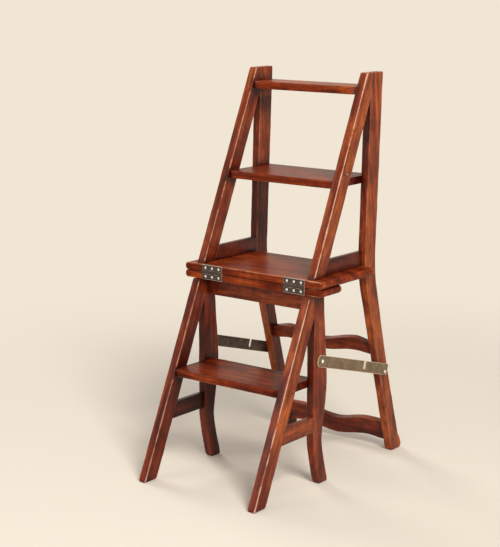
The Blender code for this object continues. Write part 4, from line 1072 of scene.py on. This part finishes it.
# Screws.
# Slotted steel screws with low domed heads, three through each hinge leaf. Their slots have
# been left at any angle, and their heads are rubbed bright.
HINGE_SCREW_SPACING = 0.0190
HINGE_SCREW_HEIGHT = 0.0100
HINGE_SCREW_HEAD = 0.0028
HINGE_SCREW_PROUD = 0.0002
HINGE_SCREW_SUNK = 0.0008
HINGE_SCREW_SLOT = (0.0008, 0.0006)
SCREW_STEEL = worn_metal("bright_steel", (0.86, 0.83, 0.78), (0.62, 0.57, 0.51),
                         (0.50, 0.42, 0.34), (0.92, 0.90, 0.86), 0.35, 0.32, 0.0010, 500)


def slotted_head(radius, dome, depth, slot, spin, axes, origin):
    """A head cut into chords across its slot, which has a width and a depth: each chord runs
    over the dome and back along the flat underside. The dome falls with the square of the
    distance from the middle."""
    width, sink = slot
    turn = np.cos(np.linspace(0.06, np.pi - 0.06, 25)) * radius
    cut = np.array([-width / 2, width / 2])
    x = np.concatenate([turn[np.abs(turn) > width * 0.6], cut, cut * 0.98])
    sunk = np.concatenate([np.zeros(len(x) - 2), [1, 1]])
    order = np.argsort(x, kind="stable")
    x, sunk = x[order], sunk[order]
    chord = np.sqrt(np.maximum(radius ** 2 - x ** 2, 0))[:, None]
    y = chord * np.sin(np.linspace(-1, 1, 13) * np.pi / 2)[None]
    distance = (x[:, None] ** 2 + y ** 2) / radius ** 2
    top = dome * (1 - distance) - sink * sunk[:, None]
    under = np.stack([y[:, -1], y[:, 0]], 1)
    ring_y = np.concatenate([y, under], 1)
    ring_z = np.concatenate([top, 0 * under - depth], 1)
    rows = np.stack([x[:, None] + 0 * ring_y, ring_y, ring_z], 2)
    c, n = math.cos(spin), math.sin(spin)
    rows = rows @ np.array([[c, n, 0], [-n, c, 0], [0, 0, 1]])
    return stood(rows, axes, origin), closed_faces(*ring_y.shape), np.zeros(ring_y.size)


for group, above, body in (("hinge_screw_front_", -1, "fixed_half"),
                           ("hinge_screw_rear_", 1, "moving_half")):
    heads = [slotted_head(HINGE_SCREW_HEAD, HINGE_SCREW_PROUD, HINGE_SCREW_SUNK, HINGE_SCREW_SLOT,
                          0.7 + 1.9 * side + 1.3 * step + above, FACING_CLIMBER,
                          (side * HINGE_PLACE + step * HINGE_SCREW_SPACING,
                           HINGE_Y + LADDER_SETBACK, SEAT_HEIGHT + above * HINGE_SCREW_HEIGHT))
             for side in (-1, 1) for step in (-1, 0, 1)]
    metal_piece("slotted_" + group + "heads", heads, body, SCREW_STEEL,
                [group + str(number) for number in range(1, 7)])

# Straps.
# A flat brass strap on each side, turning on a screw in the front leg. Its lower slot hooks
# over a stud on the stile to hold the ladder open, and its upper slot is for the chair's stud.
STRAP_PIVOT_Y = 0.0380
STRAP_PIVOT_Z = 0.2838
STRAP_HALF = 0.0270 / 2
STRAP_THICKNESS = 0.0020
STRAP_TAIL = 0.0105
STRAP_HEEL = 0.0165
STRAP_OFFSET = 0.0006
STRAP_CORNER = 0.0035
STRAP_ARRIS = 0.0004
STRAP_STEP = 0.008
STRAP_INSETS = (0.0008, 0.0020)
STUD_BELOW_MIDDLE = 0.0060
HOOK_SLOT = 0.0062
CATCH_SLOT = 0.0070
CATCH_PAST_MIDDLE = 0.0060
STILE_STUD_Z = 0.2050
STILE_STUD_Y = float(post_front(STILE_STUD_Z) + post_back(STILE_STUD_Z)) / 2
STRINGER_STUD_DROP = 0.2170
STRINGER_STUD_DEPTH = 0.0165
STRINGER_STUD_Z = TOTAL_HEIGHT - STRINGER_STUD_DROP
STRINGER_STUD_Y = float(ladder_front(STRINGER_STUD_Z)) + STRINGER_STUD_DEPTH
run, fall = STILE_STUD_Y - STRAP_PIVOT_Y, STILE_STUD_Z - STRAP_PIVOT_Z
STRAP_ANGLE = math.atan2(fall, run) + math.asin(STUD_BELOW_MIDDLE / math.hypot(run, fall))
HOOK_PLACE = math.sqrt(run * run + fall * fall - STUD_BELOW_MIDDLE ** 2)
CATCH_PLACE = math.hypot(-STRINGER_STUD_Y - STRAP_PIVOT_Y,
                         TOTAL_HEIGHT - STRINGER_STUD_Z - STRAP_PIVOT_Z)
# The left strap's brass is a much darker copy of the right one's: painted shade. The right one's
# edges are painted lighter over a wider rim, rubbed brass and a painted highlight in one.
STRAP_BRASS = {
    "right": worn_metal("tarnished_brass", (0.2139, 0.1488, 0.0818), (0.1364, 0.0992, 0.0589),
                        (0.186, 0.1147, 0.0744), (0.62, 0.49, 0.34), 0.5, 0.44, 0.0020, 60, 0.15),
    "left": worn_metal("shaded_brass", (0.068, 0.04, 0.0248), (0.038, 0.0208, 0.0132),
                       (0.086, 0.0712, 0.058), (0.46, 0.36, 0.26), 0.5, 0.42, 0.0012, 60, 0.4)}


def slot_points(place, centre, width, mouth):
    """A slot's points from its mouth round its closed half circle and back to the mouth, in
    the order in which the outline goes round."""
    way = 1 if mouth > 0 else -1
    angle = np.linspace(np.pi, 0, 9)
    x = place - way * width / 2 * np.cos(angle)
    z = centre - way * width / 2 * np.sin(angle)
    return [(x[0], mouth), *zip(x, z), (x[-1], mouth)]


def corner_columns(points, radius, spacing):
    """Columns at the corners of a plan and spaced along its longer edges. Each corner's way
    is its mitre: the sum of its edges' normals over one plus their product."""
    points = np.array(points, float)
    edges = np.roll(points, -1, 0) - points
    count = np.maximum(np.linalg.norm(edges, axis=1) // spacing, 1).astype(int)
    corner = np.repeat(np.arange(len(points)), count)
    step = np.arange(len(corner)) - np.repeat(np.cumsum(count) - count, count)
    filled = points[corner] + edges[corner] * step[:, None] / count[corner][:, None]
    along = np.roll(filled, -1, 0) - filled
    along /= np.linalg.norm(along, axis=1)[:, None]
    after = np.stack([along[:, 1], -along[:, 0]], 1)
    before = np.roll(after, 1, 0)
    mitre = (after + before) / (1 + (after * before).sum(1))[:, None]
    return np.concatenate([filled, mitre, np.full((len(filled), 2), radius), mitre], 1)


end = HOOK_PLACE + STRAP_TAIL
strap_plan = [(-STRAP_HEEL, -STRAP_HALF + 2 * STRAP_CORNER),
              (-STRAP_HEEL + 2 * STRAP_CORNER, -STRAP_HALF),
              *slot_points(HOOK_PLACE, -STUD_BELOW_MIDDLE, HOOK_SLOT, -STRAP_HALF),
              (end - STRAP_CORNER, -STRAP_HALF), (end, -STRAP_HALF + STRAP_CORNER),
              (end, STRAP_HALF - STRAP_CORNER), (end - STRAP_CORNER, STRAP_HALF),
              *slot_points(CATCH_PLACE, CATCH_SLOT / 2 - CATCH_PAST_MIDDLE, CATCH_SLOT, STRAP_HALF),
              (-STRAP_HEEL + 2 * STRAP_CORNER, STRAP_HALF),
              (-STRAP_HEEL, STRAP_HALF - 2 * STRAP_CORNER)]
rows, gap = slab_rows(corner_columns(strap_plan, STRAP_ARRIS, STRAP_STEP), STRAP_THICKNESS,
                      STRAP_INSETS, 2)
c, n = math.cos(STRAP_ANGLE), math.sin(STRAP_ANGLE)
for side_name, side in SIDES:
    name = "strap_" + side_name
    middle = side * (HALF_WIDTH + STRAP_OFFSET + STRAP_THICKNESS / 2)
    places = stood(rows, ((0, c, n), (0, -n, c), (1, 0, 0)),
                   (middle, HINGE_Y + STRAP_PIVOT_Y, STRAP_PIVOT_Z))
    finished("hooked_" + name, places, outward(places, closed_faces(*gap.shape)), name,
             STRAP_BRASS[side_name], [name], {"edge": gap.ravel()})

# Studs and strap screws.
# Each strap turns on a slotted round-headed screw. The studs that it hooks over are turned
# steel with plain domed heads, one in the stile and one in the upper stringer.
STUD_SHANK = 0.0024
STUD_SUNK = 0.004
STUD_HEAD = 0.0042
STUD_HEAD_HEIGHT = 0.0024
STUD_EASE = 0.0002
STUD_NECK = STRAP_OFFSET + STRAP_THICKNESS + JOINT_GAP
STRAP_SCREW_SLOT = (0.0011, 0.0010)
STUD_IRON = worn_metal("browned_studs", (0.17, 0.125, 0.10), (0.10, 0.072, 0.058),
                       (0.24, 0.19, 0.15), (0.60, 0.55, 0.50), 0.6, 0.28, 0.0004, 400)
STUD_STEEL = worn_metal("dull_studs", (0.50, 0.45, 0.39), (0.36, 0.31, 0.26),
                        (0.28, 0.21, 0.16), (0.70, 0.66, 0.60), 0.5, 0.30, 0.0004, 400)
bend = np.linspace(0, np.pi / 2, 8)
dome_height = STUD_NECK + STUD_HEAD_HEIGHT * (0.3 + 0.7 * np.sin(bend))
dome = np.stack([STUD_HEAD * np.cos(bend), dome_height], 1)
dome[-1, 0] = STUD_EASE
stud_profile = [(STUD_SHANK, -STUD_SUNK), (STUD_SHANK, STUD_NECK),
                (STUD_HEAD - STUD_EASE, STUD_NECK), (STUD_HEAD, STUD_NECK + STUD_EASE), *dome]
STUDS = (("stile_stud_", STILE_STUD_Y, STILE_STUD_Z, STUD_STEEL, 0.0),
         ("stringer_stud_", STRINGER_STUD_Y, STRINGER_STUD_Z, STUD_IRON, 0.001))


def out_of_side(side):
    """Axes with the third one out of a side of the chair."""
    return (0, side, 0), (0, 0, 1), (side, 0, 0)


for side_name, side in SIDES:
    for kind, y, z, metal, edge in STUDS:
        stud = turned(stud_profile, out_of_side(side), (side * HALF_WIDTH, HINGE_Y + y, z), edge)
        metal_piece("turned_" + kind + side_name, [stud], "moving_half", metal,
                    [kind + side_name])
    under_head = side * (HALF_WIDTH + STUD_NECK + STUD_HEAD_HEIGHT * 0.3)
    screw = slotted_head(STUD_HEAD, STUD_HEAD_HEIGHT * 0.7, 0, STRAP_SCREW_SLOT, 0.5 + side,
                         out_of_side(side), (under_head, HINGE_Y + STRAP_PIVOT_Y, STRAP_PIVOT_Z))
    metal_piece("slotted_strap_screw_" + side_name, [screw], "fixed_half", SCREW_STEEL,
                ["strap_screw_" + side_name])

# Tread pins.
# Two wooden pegs through each lower stringer into the end of the lowest tread. Their ends
# are cut almost flush and have darkened.
TREAD_PIN_RADIUS = 0.0022
TREAD_PIN_SUNK = 0.003
TREAD_PIN_PROUD = 0.00015
TREAD_PIN_EASE = 0.0001
TREAD_PIN_RUB = 0.01
TREAD_PIN_STEPS = (0.0110, 0.0300)
TREAD_PIN_Z = LOWER_TREAD_TOP - TREAD_THICKNESS / 2
PIN_WOOD = mahogany("darkened_pegs", (0.012, 0.004, 0.003), (0.020, 0.006, 0.004),
                    (0.034, 0.011, 0.007), (0.10, 0.04, 0.03), rough=0.4, coat=0.03)
pin_y = HINGE_Y + float(ladder_front(TREAD_PIN_Z))
for side_name, side in SIDES:
    pegs = [turned(eased_rod(TREAD_PIN_RADIUS, -TREAD_PIN_SUNK, TREAD_PIN_PROUD, TREAD_PIN_EASE),
                   out_of_side(side), (side * HALF_WIDTH, pin_y + step, TREAD_PIN_Z),
                   TREAD_PIN_RUB)
            for step in TREAD_PIN_STEPS]
    places, faces, edge = joined(pegs)
    finished("pegged_tread_" + side_name, places, faces, "fixed_half", PIN_WOOD,
             ["tread_pin_%s_%d" % (side_name, number) for number in (1, 2)],
             wood_values(places, edge, 1, 0, 0, (1, 0, 0), 7 + side))

# Floor and light.
# A pale studio floor that sweeps up into a plain pale backdrop, and soft lamps: a large one
# to the right, a cool and a warm one front left, a low strip under the camera, one behind
# and one above. None of it is part of the chair.
FLOOR_PAINT = (0.765, 0.715, 0.635)
BACKDROP = (0.88, 0.79, 0.66)
ROOM_LIGHT = (0.17, 0.165, 0.16)
FADE_START = 0.6
FADE_END = 2.0
SWEEP_RADIUS = 2.0
SWEEP_FRONT = -9.0
SWEEP_MIDDLE = -3.0
SWEEP_START = 4.5
SWEEP_HALF = 14.0
WALL_TOP = 9.0
LAMPS = (("key_lamp", (3.42, -2.07, 3.78), 0.45, (1.8, 1.8), 270, (1.0, 0.95, 0.88)),
         ("cool_lamp", (-1.34, -2.76, 1.48), 0.3, (1.3, 0.9), 9, (0.90, 0.95, 1.0)),
         ("warm_lamp", (-1.75, -2.20, 2.42), 0.7, (1.1, 1.1), 5.5, (1.0, 0.66, 0.42)),
         ("low_lamp", (1.28, -3.02, 0.61), 0.6, (2.2, 0.2), 18, (1.0, 0.97, 0.95)),
         ("back_lamp", (-3.2, 1.2, 2.7), 0.5, (1.4, 1.4), 55, (1.0, 0.96, 0.92)),
         ("top_lamp", (0.2, 0.6, 3.6), 0.4, (2.0, 2.0), 14, (1.0, 0.98, 0.95)))


def seen_as_backdrop(tree):
    """One for the rays that show the backdrop: straight, mirrored or through glass."""
    rays = add(tree, "LightPath").outputs
    return calc(tree, "MAXIMUM", rays["Is Camera Ray"],
                calc(tree, "MAXIMUM", rays["Is Glossy Ray"], rays["Is Transmission Ray"]))


floor_paint, tree, paint = new_material("studio_floor")
paint.inputs["Base Color"].default_value = (*FLOOR_PAINT, 1)
paint.inputs["Roughness"].default_value = 0.8
place = add(tree, "TexCoord").outputs["Object"]
away = add(tree, "VectorMath", {"operation": "LENGTH"}, _0=place).outputs["Value"]
pale = add(tree, "Emission", None, Color=(*BACKDROP, 1), Strength=1.0)
faded = times(tree, seen_as_backdrop(tree), spread(tree, away, FADE_START, FADE_END))
mixed = add(tree, "MixShader", None, _0=faded, _1=paint.outputs[0], _2=pale.outputs[0])
tree.links.new(mixed.outputs[0], tree.nodes["Material Output"].inputs["Surface"])
turn = np.linspace(0, np.pi / 2, 17)
sweep_y = np.concatenate([[SWEEP_FRONT, SWEEP_MIDDLE],
                          SWEEP_START + SWEEP_RADIUS * np.sin(turn),
                          [SWEEP_START + SWEEP_RADIUS]])
sweep_z = np.concatenate([[0.0, 0.0], SWEEP_RADIUS - SWEEP_RADIUS * np.cos(turn), [WALL_TOP]])
sweep_x = np.array([-SWEEP_HALF, SWEEP_HALF])
sweep = np.stack(np.broadcast_arrays(sweep_x[None, :], sweep_y[:, None], sweep_z[:, None]), -1)
first = np.arange(len(sweep_y) - 1)[:, None] * 2
floor_mesh = bpy.data.meshes.new("studio_sweep")
floor_mesh.from_pydata(sweep.reshape(-1, 3), [], (first + np.array([[0, 1, 3, 2]])).tolist())
floor_mesh.materials.append(floor_paint)
floor_mesh.shade_smooth()
floor = bpy.data.objects.new("studio_sweep", floor_mesh)
floor.rotation_euler = (0, 0, math.radians(CAMERA_YAW))
scene.collection.objects.link(floor)

for name, place, aim, size, power, colour in LAMPS:
    data = bpy.data.lights.new(name, "AREA")
    data.shape = "RECTANGLE"
    data.size, data.size_y = size
    data.energy = power
    data.color = colour
    lamp = bpy.data.objects.new(name, data)
    way = np.subtract((0, 0, aim), place)
    lamp.location = place
    lamp.rotation_euler = (math.atan2(math.hypot(way[0], way[1]), -way[2]), 0,
                           math.atan2(-way[0], way[1]))
    lamp.visible_camera = False
    scene.collection.objects.link(lamp)

world = bpy.data.worlds.new("studio")
world.use_nodes = True
tree = world.node_tree
tree.links.new(between(tree, seen_as_backdrop(tree), ROOM_LIGHT, BACKDROP),
               tree.nodes["Background"].inputs["Color"])
scene.world = world
